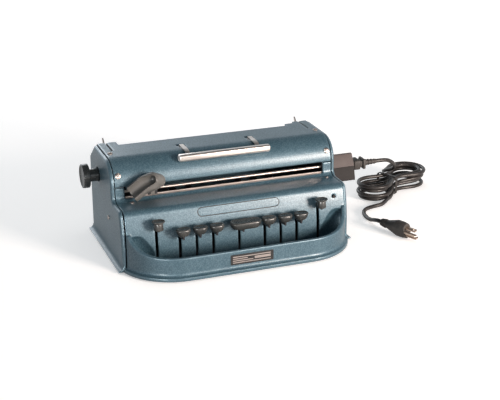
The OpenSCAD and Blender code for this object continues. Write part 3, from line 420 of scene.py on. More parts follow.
def ranged(tree, value, low, high, to_low=0.0, to_high=1.0):
    return put(tree, "MapRange", {0: value, 1: low, 2: high, 3: to_low, 4: to_high}).outputs[0]


def sums(tree, operation, first, second):
    return put(tree, "Math", {0: first, 1: second}, operation=operation).outputs[0]


def vectors(tree, operation, inputs):
    return put(tree, "VectorMath", inputs, operation=operation).outputs[0]


def noise(tree, vector, scale, detail, rough=0.5):
    wanted = {"Vector": vector, "Scale": scale, "Detail": detail, "Roughness": rough}
    return put(tree, "TexNoise", wanted).outputs["Fac"]


def new_group(name, inputs, outputs):
    """A node group with named inputs and outputs, and its ends."""
    group = bpy.data.node_groups.new(name, "ShaderNodeTree")
    for socket, kind, value in inputs:
        made = group.interface.new_socket(socket, in_out="INPUT", socket_type="NodeSocket" + kind)
        if value is not None:
            made.default_value = value
    for socket, kind in outputs:
        group.interface.new_socket(socket, in_out="OUTPUT", socket_type="NodeSocket" + kind)
    ends = group.nodes.new("NodeGroupInput"), group.nodes.new("NodeGroupOutput")
    return group, ends[0].outputs, ends[1].inputs


def hammered_group():
    """Pools of hammertone paint, with a painted highlight on convex rims: colour, roughness and height."""
    group, given, out = new_group(
        "Hammered paint",
        [
            ("Vector", "Vector", None),
            ("Light", "Color", (0.2, 0.3, 0.35, 1)),
            ("Dark", "Color", (0.08, 0.14, 0.18, 1)),
            ("Scale", "Float", 600.0),
            ("Rim", "Float", 0.0),
        ],
        [("Color", "Color"), ("Roughness", "Float"), ("Height", "Float")],
    )
    wander = put(group, "TexNoise", {"Vector": given["Vector"], "Scale": 450.0, "Detail": 2.0})
    push = vectors(group, "SUBTRACT", {0: wander.outputs["Color"], 1: (0.5, 0.5, 0.5)})
    push = vectors(group, "SCALE", {0: push, "Scale": 0.0016})
    bent = vectors(group, "ADD", {0: given["Vector"], 1: push})
    pools = put(
        group,
        "TexVoronoi",
        {"Vector": bent, "Scale": given["Scale"], "Smoothness": 0.6},
        feature="SMOOTH_F1",
    ).outputs["Distance"]
    pool = ranged(group, pools, 0.1, 0.62, 1.0, 0.0)
    flake = ranged(group, noise(group, given["Vector"], 2300.0, 3.0), 0.35, 0.68)
    drift = ranged(group, noise(group, given["Vector"], 22.0, 2.0), 0.3, 0.7, -0.08, 0.08)
    share = sums(group, "ADD", sums(group, "MULTIPLY", pool, 0.62), sums(group, "MULTIPLY", flake, 0.38))
    share = sums(group, "ADD", share, drift)
    shade = blended(group, share, given["Dark"], given["Light"])
    # Convex rims are painted lighter towards the Light colour: a painted highlight along the rounded edges.
    painted_rim_highlight = blended(group, 0.55, shade, given["Light"])
    group.links.new(blended(group, given["Rim"], shade, painted_rim_highlight), out["Color"])
    rough = ranged(group, share, 0.0, 1.0, 0.56, 0.44)
    rough = sums(group, "SUBTRACT", rough, sums(group, "MULTIPLY", given["Rim"], 0.2))
    group.links.new(rough, out["Roughness"])
    group.links.new(sums(group, "ADD", pool, sums(group, "MULTIPLY", flake, 0.25)), out["Height"])
    return group


def grain_group():
    """Fine moulded grain with a film of dust: colour, roughness and height."""
    group, given, out = new_group(
        "Moulded grain",
        [
            ("Vector", "Vector", None),
            ("Tint", "Color", (0.05, 0.05, 0.05, 1)),
            ("Scale", "Float", 900.0),
            ("Dust", "Float", 0.1),
            ("Base Roughness", "Float", 0.5),
        ],
        [("Color", "Color"), ("Roughness", "Float"), ("Height", "Float")],
    )
    grain = noise(group, given["Vector"], given["Scale"], 4.0, 0.6)
    patch = noise(group, given["Vector"], 55.0, 3.0)
    patch = ranged(group, patch, 0.42, 0.75)
    bright = ranged(group, grain, 0.3, 0.7, 0.82, 1.22)
    tinted = vectors(group, "SCALE", {0: given["Tint"], "Scale": bright})
    dust = sums(group, "MULTIPLY", patch, given["Dust"])
    group.links.new(blended(group, dust, tinted, (0.32, 0.31, 0.29, 1)), out["Color"])
    rough = sums(group, "ADD", given["Base Roughness"], ranged(group, grain, 0.3, 0.7, -0.05, 0.05))
    group.links.new(sums(group, "ADD", rough, sums(group, "MULTIPLY", dust, 0.5)), out["Roughness"])
    group.links.new(grain, out["Height"])
    return group


def brushed_group():
    """Metal with fine scratches along one axis and faint stains: colour, roughness and height."""
    group, given, out = new_group(
        "Brushed metal",
        [
            ("Vector", "Vector", None),
            ("Tint", "Color", (0.6, 0.6, 0.6, 1)),
            ("Stretch", "Vector", (40, 1500, 1500)),
            ("Base Roughness", "Float", 0.3),
        ],
        [("Color", "Color"), ("Roughness", "Float"), ("Height", "Float")],
    )
    drawn = vectors(group, "MULTIPLY", {0: given["Vector"], 1: given["Stretch"]})
    lines = noise(group, drawn, 1.0, 3.0)
    stain = ranged(group, noise(group, given["Vector"], 70.0, 4.0), 0.45, 0.75)
    bright = ranged(group, lines, 0.3, 0.7, 0.88, 1.1)
    tinted = vectors(group, "SCALE", {0: given["Tint"], "Scale": bright})
    dull = vectors(group, "SCALE", {0: given["Tint"], "Scale": 0.7})
    group.links.new(blended(group, sums(group, "MULTIPLY", stain, 0.45), tinted, dull), out["Color"])
    rough = sums(group, "ADD", given["Base Roughness"], ranged(group, lines, 0.3, 0.7, -0.06, 0.08))
    group.links.new(sums(group, "ADD", rough, sums(group, "MULTIPLY", stain, 0.12)), out["Roughness"])
    group.links.new(lines, out["Height"])
    return group


def finish(name, group, inputs, dent, sockets):
    """A material whose colour, roughness and relief come from a node group."""
    material = bpy.data.materials.new(name)
    material.use_nodes = True
    tree = material.node_tree
    shader = tree.nodes["Principled BSDF"]
    for key, value in sockets.items():
        shader.inputs[key].default_value = value
    place = put(tree, "TexCoord").outputs["Object"]
    made = tree.nodes.new("ShaderNodeGroup")
    made.node_tree = group
    tree.links.new(place, made.inputs["Vector"])
    for key, value in inputs.items():
        made.inputs[key].default_value = value
    if "Rim" in made.inputs:
        rim = put(tree, "Attribute", attribute_name="rim").outputs["Fac"]
        tree.links.new(rim, made.inputs["Rim"])
    bump = put(tree, "Bump", {"Strength": 1.0, "Distance": dent, "Height": made.outputs["Height"]})
    tree.links.new(made.outputs["Color"], shader.inputs["Base Color"])
    tree.links.new(made.outputs["Roughness"], shader.inputs["Roughness"])
    tree.links.new(bump.outputs["Normal"], shader.inputs["Normal"])
    FINISHES[name] = material
    return material


# The CAD nodes that are shown as they are, by their finish.
KEPT = {
    "hammertone": ["rear_panel", "paper_table"],
    "steel": [
        "head_rails", "paper_guide", "margin_rail", "left_margin_stop", "right_margin_stop", "feed_roller",
    ],
    "dark_steel": [
        "base_plate", "inner_frames", "key_shaft", "drive_motor", "carriage_rack", "cam_shaft", "carriage",
        "release_levers", "space_lever", "line_space_lever", "backspace_lever",
        *(f"dot_lever_{i}" for i in range(1, 7)),
    ],
    "brass": ["bell", "motor_pinion", "ratchet_gear"],
    "handle_metal": ["handle_straps"],
    "black_plastic": ["power_inlet"],
}


class BRAILLER_OT_finishes(bpy.types.Operator):
    """Makes the paint, plastics, rubber and metals"""

    bl_idname = "brailler.finishes"
    bl_label = "Finishes"

    def execute(self, context):
        paint, keys, cord = (getattr(context.scene, "brailler_" + n) for n in ("paint", "keys", "cord"))
        hammered, grain, brushed = hammered_group(), grain_group(), brushed_group()
        finish(
            "hammertone",
            hammered,
            {"Light": rgba(paint.light), "Dark": rgba(paint.dark), "Scale": 1 / paint.pool},
            paint.dent,
            {"Metallic": 0.32, "Coat Weight": 0.6, "Coat Roughness": 0.3, "Specular IOR Level": 0.35},
        )
        for name, tint, scale, dust, rough, dent in (
            ("key_plastic", rgba(keys.plastic), 1400, 0.1, 0.24, 0.00002),
            ("scoop_metal", (0.1, 0.1, 0.096, 1), 1100, 0.12, 0.33, 0.00003),
            ("box_plastic", (0.075, 0.06, 0.058, 1), 1300, 0.06, 0.6, 0.00004),
            # Near-black plastic as painted shade, on the lower half of the power box and on the key necks.
            ("lid_plastic", (0.008, 0.006, 0.006, 1), 1300, 0.02, 0.7, 0.00004),
            ("black_plastic", (0.016, 0.016, 0.017, 1), 1500, 0.05, 0.42, 0.00002),
            ("rubber", (0.035, 0.031, 0.029, 1), 1200, 0.1, 0.55, 0.00004),
            ("cord_pvc", rgba(cord.jacket), 1500, 0.08, 0.36, 0.00002),
            ("plate", (0.02, 0.02, 0.021, 1), 1800, 0.05, 0.35, 0.00001),
        ):
            grained = {"Tint": tint, "Scale": scale, "Dust": dust, "Base Roughness": rough}
            shine = 0.5 if name == "key_plastic" else 0.35
            finish(name, grain, grained, dent, {"Specular IOR Level": shine})
        for name, tint, stretch, rough, dent in (
            ("steel", (0.42, 0.37, 0.345, 1), (45, 1600, 1600), 0.36, 0.000002),
            ("dark_steel", (0.04, 0.04, 0.043, 1), (300, 1300, 1300), 0.45, 0.00002),
            ("handle_metal", (0.68, 0.62, 0.58, 1), (30, 1700, 1700), 0.33, 0.00001),
            ("brass", (0.62, 0.48, 0.39, 1), (400, 900, 900), 0.32, 0.00001),
        ):
            drawn = {"Tint": tint, "Stretch": stretch, "Base Roughness": rough}
            finish(name, brushed, drawn, dent, {"Metallic": 1.0})
        for slot, nodes in KEPT.items():
            for node in nodes:
                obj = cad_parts[node]
                obj.data.materials.clear()
                obj.data.materials.append(FINISHES[slot])
        return {"FINISHED"}


# Case


class BRAILLER_OT_castings(bpy.types.Operator):
    """Rounds the front casting, the cover and the side panels over"""

    bl_idname = "brailler.castings"
    bl_label = "Castings"

    def execute(self, context):
        sizes = context.scene.brailler_casting
        front = rounded_copy("front_casting", "front_casting_cast", sizes.voxel, sizes.passes, sizes.faces)
        piece(front, "case", "hammertone", ["front_casting"], smooth=40)
        cover = rounded_copy("top_cover", "top_cover_sheet", sizes.voxel, 2, sizes.faces)
        piece(cover, "case", "hammertone", ["top_cover"], smooth=40)
        for side in ("left", "right"):
            panel = rounded_copy(f"{side}_side_panel", f"{side}_panel_cast", sizes.voxel, 3, sizes.faces)
            piece(panel, "case", "hammertone", [f"{side}_side_panel"], smooth=40)
        return {"FINISHED"}


def face_y(z):
    """Y of the keyboard face and its brow at height z, in millimetres."""
    up = LEDGE_Z - BROW_R - FACE_Z
    centre = fwd(FACE_D) + FACE_R
    if z <= LEDGE_Z - BROW_R:
        return centre - math.sqrt(FACE_R**2 - (z - FACE_Z) ** 2)
    brow = centre - math.sqrt((FACE_R - BROW_R) ** 2 - up**2)
    return brow - math.sqrt(BROW_R**2 - (z - LEDGE_Z + BROW_R) ** 2)


class BRAILLER_OT_badge(bpy.types.Operator):
    """Lays a dark line round the bare badge's place on the face, as painted shade of the groove there"""

    bl_idname = "brailler.badge"
    bl_label = "Badge outline"

    def execute(self, context):
        radius, half = BADGE_H / 2 - 0.45, (BADGE_LEN - BADGE_H) / 2
        flat = []
        for side, first in ((1, -90), (-1, 90)):
            for step in range(13):
                angle = math.radians(first + 15 * step)
                flat.append((side * half + radius * math.cos(angle), radius * math.sin(angle)))
            for step in range(1, 24):
                flat.append((side * half * (1 - step / 12), side * radius))
        points = [(x + BADGE_X, face_y(z + BADGE_Z), z + BADGE_Z) for x, z in flat]
        # The line is near-black: painted shade of the groove round the badge.
        line = curve("badge_line", points, 1.1, 2)
        line.data.splines[0].use_cyclic_u = True
        piece(meshed(line), "case", "plate", smooth=80)
        return {"FINISHED"}


class BRAILLER_OT_label(bpy.types.Operator):
    """Makes the bare rating plate with its raised border, and the small indicator"""

    bl_idname = "brailler.label"
    bl_label = "Label plate"

    def execute(self, context):
        low, high = corners("label_plate")
        plate = block("rating_plate", low, high)
        pick(plate, "EDGE", edges_along((0, 1, 0)))
        bevel(0.8, 3)
        pick(plate, "FACE", faces_towards((0, -1, 0)))
        inset(0.9)
        extrude(y=0.25)
        end_edit()
        piece(plate, "case", "plate", ["label_plate"])
        # Bare strips and a bare field: left, right, top and height, from the plate's own edges.
        fields = []
        for x0, x1, top, tall in (
            (3, 57, 2.6, 1.5),
            (3, 24, 5.4, 1.5),
            (34, 57, 5.4, 3.6),
            (3, 32, 8.2, 1.4),
            (3, 57, 10.9, 1.4),
        ):
            z = high.z - top
            field = block("field", (low.x + x0, low.y + 0.12, z - tall), (low.x + x1, low.y + 0.4, z))
            fields.append(round_edges(field, 0.1, 1))
        piece(joined("rating_plate_fields", fields), "case", "steel")
        low, high = corners("indicator_lamp")
        x, z = (low.x + high.x) / 2, (low.z + high.z) / 2
        lamp = rod("indicator_lens", (x, high.y, z), (x, low.y, z), (high.x - low.x) / 2, sides=32)
        pick(lamp, "FACE", faces_towards((0, -1, 0)))
        inset(0.6)
        extrude(y=0.3)
        end_edit()
        round_edges(lamp, 0.15, 2)
        piece(lamp, "case", "black_plastic", ["indicator_lamp"])
        return {"FINISHED"}


def screw(name, place, way, radius, spin):
    """A domed, slotted screw head whose seat is at a place and which looks along way."""
    head = rod(name, (0, 0, 0), (0, 0, 0.9), radius, sides=40)
    pick(head, "FACE", faces_towards((0, 0, 1)))
    for rise, share in ((0.45, 0.86), (0.35, 0.74), (0.2, 0.5)):
        extrude(z=rise)
        grow(head, share, share)
    end_edit()
    slot = block("slot", (-radius - 1, -0.5, 0.95), (radius + 1, 0.5, 3))
    cut(head, turned(slot, spin, "Z", (0, 0, 0)))
    round_edges(head, 0.12, 2)
    head.rotation_euler = Vector(way).to_track_quat("Z", "Y").to_euler()
    head.location = mm(*place)
    return settled(head)


class BRAILLER_OT_screws(bpy.types.Operator):
    """Makes the screws of the cover, the ledge, the side panels and the rear panel"""

    bl_idname = "brailler.screws"
    bl_label = "Screws"

    def execute(self, context):
        # The front cover screws sit on the cover's arc, this far up it from its middle.
        lean, radius = math.radians(26), 33.5
        outwards = (0, -math.cos(lean), math.sin(lean))
        on_arc = (fwd(86) + radius * outwards[1], 104.5 + radius * outwards[2])
        heads = []
        for side in SIDES:
            heads += [
                screw("head", (side * 153, fwd(75), 138), (0, 0, 1), 3.5, 35 * side),
                screw("head", (side * 153.3, *on_arc), outwards, 4.2, 20 - 50 * side),
                screw("head", (4.5 + side * 143.5, fwd(131), 84), (0, 0, 1), 2.5, 70 * side),
                screw("head", (side * 165, fwd(102), 56), (side, 0, 0), 3, 15),
            ]
            heads += [screw("head", (side * 156, fwd(1), z), (0, 1, 0), 3, 25 * side + z) for z in (14, 77)]
        piece(joined("screw_heads", heads), "case", "steel", ["case_screws"])
        return {"FINISHED"}


class BRAILLER_OT_feet(bpy.types.Operator):
    """Makes the four rubber feet"""

    bl_idname = "brailler.feet"
    bl_label = "Feet"

    def execute(self, context):
        feet = []
        for x in (-135, 135):
            for d in (22, 148):
                foot = rod("foot", (x, fwd(d), 3), (x, fwd(d), 0), 9, 8.2)
                pick(foot, "FACE", faces_towards((0, 0, -1)))
                inset(2.2)
                extrude(z=0.8)
                end_edit()
                feet.append(round_edges(foot, 0.4, 2))
        piece(joined("rubber_feet_moulded", feet), "case", "rubber", ["rubber_feet"])
        return {"FINISHED"}


# Controls


def stadium_cap(name, x, y, z, width, depth, steps):
    """A stack of stadium outlines: starts at height z and follows steps of (rise, width, depth)."""
    cap = rod(name, (x, y, z), (x, y, z + steps[0][0]), depth / 2, sides=40)
    middle = x * MM
    for side in SIDES:
        pick(cap, "VERT", lambda v, s=side: (v.co.x - middle) * s > 1e-5)
        shift(x=side * (width - depth) / 2)
    was = (width, depth)
    pick(cap, "FACE", faces_towards((0, 0, 1)))
    for rise, w, d in steps[1:]:
        extrude(z=rise)
        grow(cap, w / was[0], d / was[1])
        was = (w, d)
    end_edit()
    return cap


def dished(cap, dish, width):
    """Sinks a soft dish into the top of a cap."""
    pick(cap, "FACE", faces_towards((0, 0, 1)))
    for share in (0.35, 0.35, 0.3):
        inset(width)
        shift(z=-dish / MM * share)
    end_edit()


class BRAILLER_OT_keys(bpy.types.Operator):
    """Makes the six dot keys, the spacebar and the two side keys"""

    bl_idname = "brailler.keys"
    bl_label = "Keys"

    def execute(self, context):
        dish = context.scene.brailler_keys.dish
        pads = [(f"dot_key_{i}", f"key_{i}", f"dot_cap_{i}") for i in range(1, 7)]
        pads.append(("spacebar", "space_key", "space_cap"))
        for node, body, name in pads:
            low, high = corners(node)
            wide, depth = high.x - low.x, high.y - low.y
            x, y, base = (low.x + high.x) / 2, (low.y + high.y) / 2, low.z + 2.5
            lever_node = node.replace("dot_key", "dot_lever").replace("bar", "_lever")
            lever = sum(corners(lever_node), Vector()).x / 2
            steps = [
                (0.7, wide - 7.5, depth - 5),
                (1.6, wide - 4, depth - 2.6),
                (3.6, wide - 0.8, depth - 0.6),
                (2.6, wide - 0.1, depth - 0.1),
                (1.2, wide - 1, depth - 1),
                (0.8, wide - 3.2, depth - 3.2),
            ]
            cap = stadium_cap(name, x, y, base, wide - 7.5, depth - 5, steps)
            dished(cap, dish, 1.1)
            modifier(cap, "SUBSURF", levels=1, render_levels=1)
            # The neck under each cap is near-black as painted shade.
            neck = block(name + "_neck", (lever - 1.9, y - 2.6, low.z), (lever + 1.9, y + 2.6, base + 0.6))
            round_edges(neck, 0.6, 2)
            piece(neck, body, "lid_plastic")
            piece(cap, body, "key_plastic", [node], smooth=50)
        for node, body, name in (
            ("line_space_key", "line_space", "line_space_cap"),
            ("backspace_key", "backspace", "backspace_cap"),
        ):
            low, high = corners(node)
            wide, depth = high.x - low.x - 1.5, high.y - low.y
            x, y = (low.x + high.x) / 2, (low.y + high.y) / 2
            steps = [
                (0.3, wide - 3, depth - 2),
                (0.8, wide - 0.4, depth - 0.4),
                (1, wide, depth),
                (0.5, wide - 1, depth - 1),
            ]
            cap = stadium_cap(name, x, y, high.z - 2.6, wide - 3, depth - 2, steps)
            dished(cap, 0.0007, 1.0)
            round_edges(cap, 0.25, 2, 40)
            stem = rod("stem", (x, y, low.z), (x, y, high.z - 2.8), 6.8, 6.3)
            pick(stem, "FACE", faces_towards((0, 0, -1)))
            inset(1.2)
            extrude(z=1)
            end_edit()
            round_edges(stem, 0.4, 2)
            piece(joined(name, [cap, stem]), body, "key_plastic", [node], smooth=50)
        return {"FINISHED"}


class BRAILLER_OT_handle(bpy.types.Operator):
    """Makes the bar of the lift handle"""

    bl_idname = "brailler.handle"
    bl_label = "Handle bar"

    def execute(self, context):
        low, high = corners("handle_bar")
        bar = block("handle_bar_metal", low, high)
        pick(bar, "EDGE", edges_along((1, 0, 0)))
        bevel(3.2, 5)
        for side in SIDES:
            pick(bar, "FACE", faces_towards((side, 0, 0)))
            for step, share in ((0.9, 0.93), (0.6, 0.8), (0.25, 0.6)):
                extrude(x=side * step)
                grow(bar, 1, share, share)
            shift(x=-side * 1.75)
        end_edit()
        piece(bar, "handle", "handle_metal", ["handle_bar"], smooth=50)
        return {"FINISHED"}


class BRAILLER_OT_knob(bpy.types.Operator):
    """Makes the paper feed knob with its rounded rim and dished face"""

    bl_idname = "brailler.knob"
    bl_label = "Feed knob"

    def execute(self, context):
        low, high = corners("feed_knob")
        y, z = (low.y + high.y) / 2, (low.z + high.z) / 2
        radius = (high.z - low.z) / 2
        knob = rod("feed_knob_moulded", (low.x + 9.5, y, z), (low.x, y, z), radius, sides=96)
        pick(knob, "FACE", faces_towards((-1, 0, 0)))
        for width, sink in ((2.2, 0), (0.9, 0.8), (1.6, 0.5), (4.5, 0.1)):
            inset(width)
            shift(x=sink)
        pick(knob, "FACE", faces_towards((1, 0, 0)))
        inset(3)
        shift(x=-0.6)
        end_edit()
        round_edges(knob, 1.1, 4, 50)
        hub = rod("hub", (low.x + 8.5, y, z), (high.x, y, z), 9, sides=64)
        round_edges(hub, 0.5, 2)
        piece(joined("feed_knob_moulded", [knob, hub]), "feed", "key_plastic", ["feed_knob"], smooth=30)
        return {"FINISHED"}


class BRAILLER_OT_scoop(bpy.types.Operator):
    """Rounds the finger trough of the embossing head over"""

    bl_idname = "brailler.scoop"
    bl_label = "Head lever"

    def execute(self, context):
        scoop = rounded_copy("carriage_lever", "head_scoop", 0.4 * MM, 6, 120000)
        piece(scoop, "head_lever", "scoop_metal", ["carriage_lever"], smooth=60)
        return {"FINISHED"}


class BRAILLER_OT_release_tips(bpy.types.Operator):
    """Sleeves the tips of the two paper release levers in bright metal"""

    bl_idname = "brailler.release_tips"
    bl_label = "Release tips"

    def execute(self, context):
        tips = copy_of("release_levers", "release_tips")
        keep = block("keep", (-160, 60, 133.5), (160, 120, 145))
        modifier(tips, "BOOLEAN", operation="INTERSECT", object=keep, solver="EXACT")
        bpy.data.objects.remove(keep)
        pick(tips, "VERT", lambda vert: True)
        bpy.ops.transform.shrink_fatten(value=0.15 * MM)
        end_edit()
        piece(round_edges(tips, 0.15, 2), "release", "handle_metal")
        return {"FINISHED"}


class BRAILLER_OT_slit_shade_sheets(bpy.types.Operator):
    """Hangs thin dark sheets under the cover, beside its slits and along its ends, as painted shade where the
    inside of the case shows through
    """

    bl_idname = "brailler.slit_cheeks"
    bl_label = "Slit cheeks"

    def execute(self, context):
        cheeks = []
        # These dark sheets stand for the shade inside the case behind the slits: painted shade.
        for x in (-158.9, -145.3, 148.7, 158.1):
            cheek = block("cheek", (x, 50, 127), (x + 0.8, 92, 135.8))
            pick(cheek, "EDGE", edges_along((1, 0, 0)))
            bevel(1.5, 3)
            end_edit()
            cheeks.append(cheek)
        piece(joined("slit_shade_sheets", cheeks), "case", "dark_steel")
        return {"FINISHED"}


class BRAILLER_OT_springs(bpy.types.Operator):
    """Winds the nine return springs on the key shaft"""

    bl_idname = "brailler.springs"
    bl_label = "Key springs"

    def execute(self, context):
        turns, steps, radius, height = 5, 14, 4.9, 30
        y = fwd(78)
        coils = []
        for x in (-117.5, -85, -61.3, -37.6, 0, 37.6, 61.3, 85, 117.5):
            points = []
            for i in range(turns * steps + 1):
                angle = 2 * math.pi * i / steps
                along = x + 4.8 + 6 * i / (turns * steps)
                points.append((along, y + radius * math.cos(angle), height + radius * math.sin(angle)))
            points.append((x + 10.8, y + radius, 5))
            coils.append(meshed(curve("spring", points, 1, 1)))
        piece(joined("key_return_springs", coils), "case", "steel", ["key_springs"], smooth=80)
        return {"FINISHED"}


# Power box and cord


class BRAILLER_OT_power_box(bpy.types.Operator):
    """Rounds the edges of the two halves of the power box"""

    bl_idname = "brailler.power_box"
    bl_label = "Power box"

    def execute(self, context):
        # The lower half is near-black as painted shade, darker than the plastic of the upper half.
        for node, name, slot in (
            ("power_box", "power_box_upper", "box_plastic"),
            ("power_box_lid", "power_box_lower", "lid_plastic"),
        ):
            half = copy_of(node, name)
            pick_all(half)
            bpy.ops.mesh.dissolve_limited(angle_limit=math.radians(1))
            end_edit()
            round_edges(half, 0.7, 3)
            piece(half, "case", slot, [node])
        return {"FINISHED"}


def connector():
    """The moulded connector with its grip, waist, flange and ribbed relief."""
    x0, y, z = 222, fwd(52), 69
    parts = [block("nose", (x0 - 13.5, y - 8.4, z - 6.4), (x0 + 3.5, y + 8.4, z + 6.4))]
    for start, end, wide, high in ((2.5, 13, 9.7, 7.2), (12.5, 18, 7, 5), (17.5, 22, 9.5, 7.5)):
        part = block("grip", (x0 + start, y - wide, z - high), (x0 + end, y + wide, z + high))
        parts.append(round_edges(part, 1.4 if wide > 8 else 0.9, 3))
    for i in range(4):
        for side in SIDES:
            x = x0 + 4.2 + 2 * i
            rib = block("rib", (x, y - 7.5, z + side * 7.1), (x + 1, y + 7.5, z + side * 7.6))
            parts.append(round_edges(rib, 0.2, 1))
    relief = rod("relief", (x0 + 21.5, y, z), (x0 + 43, y, z), 4.2, 3.4, 32)
    parts.append(relief)
    for i in range(4):
        x, radius = x0 + 23.6 + 4.9 * i, 5.2 - 0.4 * i
        ring = rod("ring", (x, y, z), (x + 2.8, y, z), radius, radius - 0.2, 32)
        parts.append(round_edges(ring, 0.7, 3))
    return joined("mains_connector", parts)


# The hank's numbers, as part.scad has them, in millimetres and degrees.
HANK_C, HANK_TURN, HANK_START, HANK_LOOPS = (313, 104), 26, 0.755, 4.54
HANK_CLIMBS = (1.12, 2.12, 3.12)
LOBE_C, LOBE_R, WAIST, LOOP_STEP, LAYER_STEP, HANK_Z = 42, 18.5, 4, 7.8, 6.8, 4.2
LEAD = [
    (265, 61.5, 69), (275, 61.5, 69), (285, 62.5, 67.5), (294, 66, 62.5), (301.5, 72, 56), (307, 80, 49.5),
    (309.5, 88.5, 43.5), (309.5, 97, 38.5), (307.5, 105.5, 34.5), (307.5, 114, 30.5), (310, 121.8, 27),
]
TAIL = [
    (269, 45, 3.6), (257, 43, 3), (246, 40, 3), (236.5, 34.5, 3), (230, 25.5, 3), (226.5, 14, 3),
    (225, 2, 3.4), (224.3, -10, 5.6), (224, -21.5, 9.4),
]
PLUG_TURN, PLUG_ROLL, PLUG_AT = -67, -75, Vector((227.3, -39.1, 12.6))
PLUG_WAY = Vector((math.cos(math.radians(PLUG_TURN)), math.sin(math.radians(PLUG_TURN)), 0))
PLUG_END = 48


def run_v(u, outer, waist):
    return waist + (outer - waist) * (1 - math.cos(math.pi * u / LOBE_C)) / 2


def loop_uv(p, outer, waist):
    """A place on one loop of the hank, in its own plane: p goes once round from 0 to 1."""
    if p < 0.25:
        angle = math.radians(720 * p - 90)
        return LOBE_C + outer * math.cos(angle), outer * math.sin(angle)
    if p < 0.5:
        u = LOBE_C - 8 * LOBE_C * (p - 0.25)
        return u, run_v(u, outer, waist)
    if p < 0.75:
        angle = math.radians(720 * p - 270)
        return -LOBE_C + outer * math.cos(angle), outer * math.sin(angle)
    u = -LOBE_C + 8 * LOBE_C * (p - 0.75)
    return u, -run_v(u, outer, waist)


def rise(t):
    t = min(max(t, 0), 1)
    return t * t * (3 - 2 * t)


def hank_at(s):
    """The middle of the cord after s loops of the hank."""
    k = min(abs(s - HANK_CLIMBS[0]), abs(s - HANK_CLIMBS[2]))
    u, v = loop_uv((HANK_START + s) % 1, LOBE_R + LOOP_STEP * k, WAIST + LOOP_STEP * k)
    cos, sin = math.cos(math.radians(HANK_TURN)), math.sin(math.radians(HANK_TURN))
    climb = sum(rise((s - c) / 0.25 + 0.5) for c in HANK_CLIMBS)
    return Vector((HANK_C[0] + u * cos - v * sin, HANK_C[1] + u * sin + v * cos, HANK_Z + LAYER_STEP * climb))


def smooth_line(points, steps):
    """A curve through points, with that many steps between each two."""
    points = [Vector(p) for p in points]
    ends = [2 * points[0] - points[1], *points, 2 * points[-1] - points[-2]]
    line = []
    for a, b, c, d in zip(ends, ends[1:], ends[2:], ends[3:]):
        for i in range(steps):
            t = i / steps
            bow, twist = 2 * a - 5 * b + 4 * c - d, 3 * b - a - 3 * c + d
            line.append(0.5 * (2 * b + (c - a) * t + bow * t * t + twist * t**3))
    return [*line, points[-1]]


def cord_route(diameter):
    """The cord's whole middle line, from the connector through the hank to the plug, in millimetres."""
    fine = 4
    loops = round(HANK_LOOPS * 24) * fine
    coarse = [hank_at(i / 24) for i in range(round(HANK_LOOPS * 24) + 1)]
    inner = coarse[0] + diameter * (coarse[0] - coarse[1]).normalized()
    outer = coarse[-1] + diameter * (coarse[-1] - coarse[-2]).normalized()
    hank = [hank_at(i / 24 / fine) for i in range(loops + 1)]
    lead = smooth_line([*LEAD, outer + 9 * (outer - coarse[-1]).normalized(), outer], 4)
    tail = [inner, inner + 9 * (inner - coarse[0]).normalized(), *TAIL, PLUG_AT - 7 * PLUG_WAY, PLUG_AT]
    return [*lead, *reversed(hank), *smooth_line(tail, 4)]


def plug():
    """The moulded plug body with its ribbed relief."""
    body = rounded_copy("plug_body", "plug_moulding", 0.45 * MM, 4, 120000)
    parts = [body]
    for at, radius in ((1.2, 5.6), (4.4, 6.1), (7.6, 6.6)):
        start = PLUG_AT + PLUG_WAY * at
        ring = rod("ring", start, start + PLUG_WAY * 1.9, radius, radius + 0.15, 40)
        parts.append(round_edges(ring, 0.5, 2))
    return joined("plug_moulding", parts)


def blades():
    """The plug's two blades with their holes, and the ground pin with its round tip."""
    parts = []
    for side in SIDES:
        y = side * 6.35
        blade = block("blade", (PLUG_END, y - 0.75, -4.4), (PLUG_END + 18, y + 0.75, 2))
        pick(blade, "EDGE", lambda e: edges_along((0, 1, 0))(e) and e.verts[0].co.x > (PLUG_END + 17) * MM)
        bevel(1.2, 2)
        end_edit()
        cut(blade, rod("hole", (PLUG_END + 14, y - 3, -1.2), (PLUG_END + 14, y + 3, -1.2), 1.5, sides=24))
        parts.append(round_edges(blade, 0.2, 2))
    pin = rod("pin", (PLUG_END, 0, -4.5), (PLUG_END + 18.5, 0, -4.5), 2.4, sides=32)
    pick(pin, "FACE", faces_towards((1, 0, 0)))
    for step, share in ((1.0, 0.88), (0.9, 0.7), (0.6, 0.4)):
        extrude(x=step)
        grow(pin, 1, share, share)
    end_edit()
    parts.append(pin)
    obj = turned(joined("plug_contacts", parts), PLUG_ROLL, "X", (0, 0, 0))
    turned(obj, PLUG_TURN, "Z", (0, 0, 0))
    obj.location = PLUG_AT * MM
    return settled(obj)


class BRAILLER_OT_cord(bpy.types.Operator):
    """Lays the mains cord with its hank, tie, connector and plug"""

    bl_idname = "brailler.cord"
    bl_label = "Mains cord"

    def execute(self, context):
        diameter = context.scene.brailler_cord.diameter
        route = cord_route(diameter / MM)
        cord = curve("mains_cord", route, diameter / MM, 4)
        cord.data.use_fill_caps = True
        piece(cord, "case", "cord_pvc", ["cord_lead", "cord_hank", "cord_tail"])
        nose = piece(connector(), "case", "rubber", ["iec_connector"])
        tie = copy_of("cord_tie", "hank_tie")
        round_edges(tie, 0.3, 2, 60)
        piece(tie, "case", "cord_pvc", ["cord_tie"], smooth=40)
        body = piece(plug(), "case", "rubber", ["plug_body"], smooth=45)
        pins = piece(blades(), "case", "brass", ["plug_blades"])
        return {"FINISHED"}


# Stage


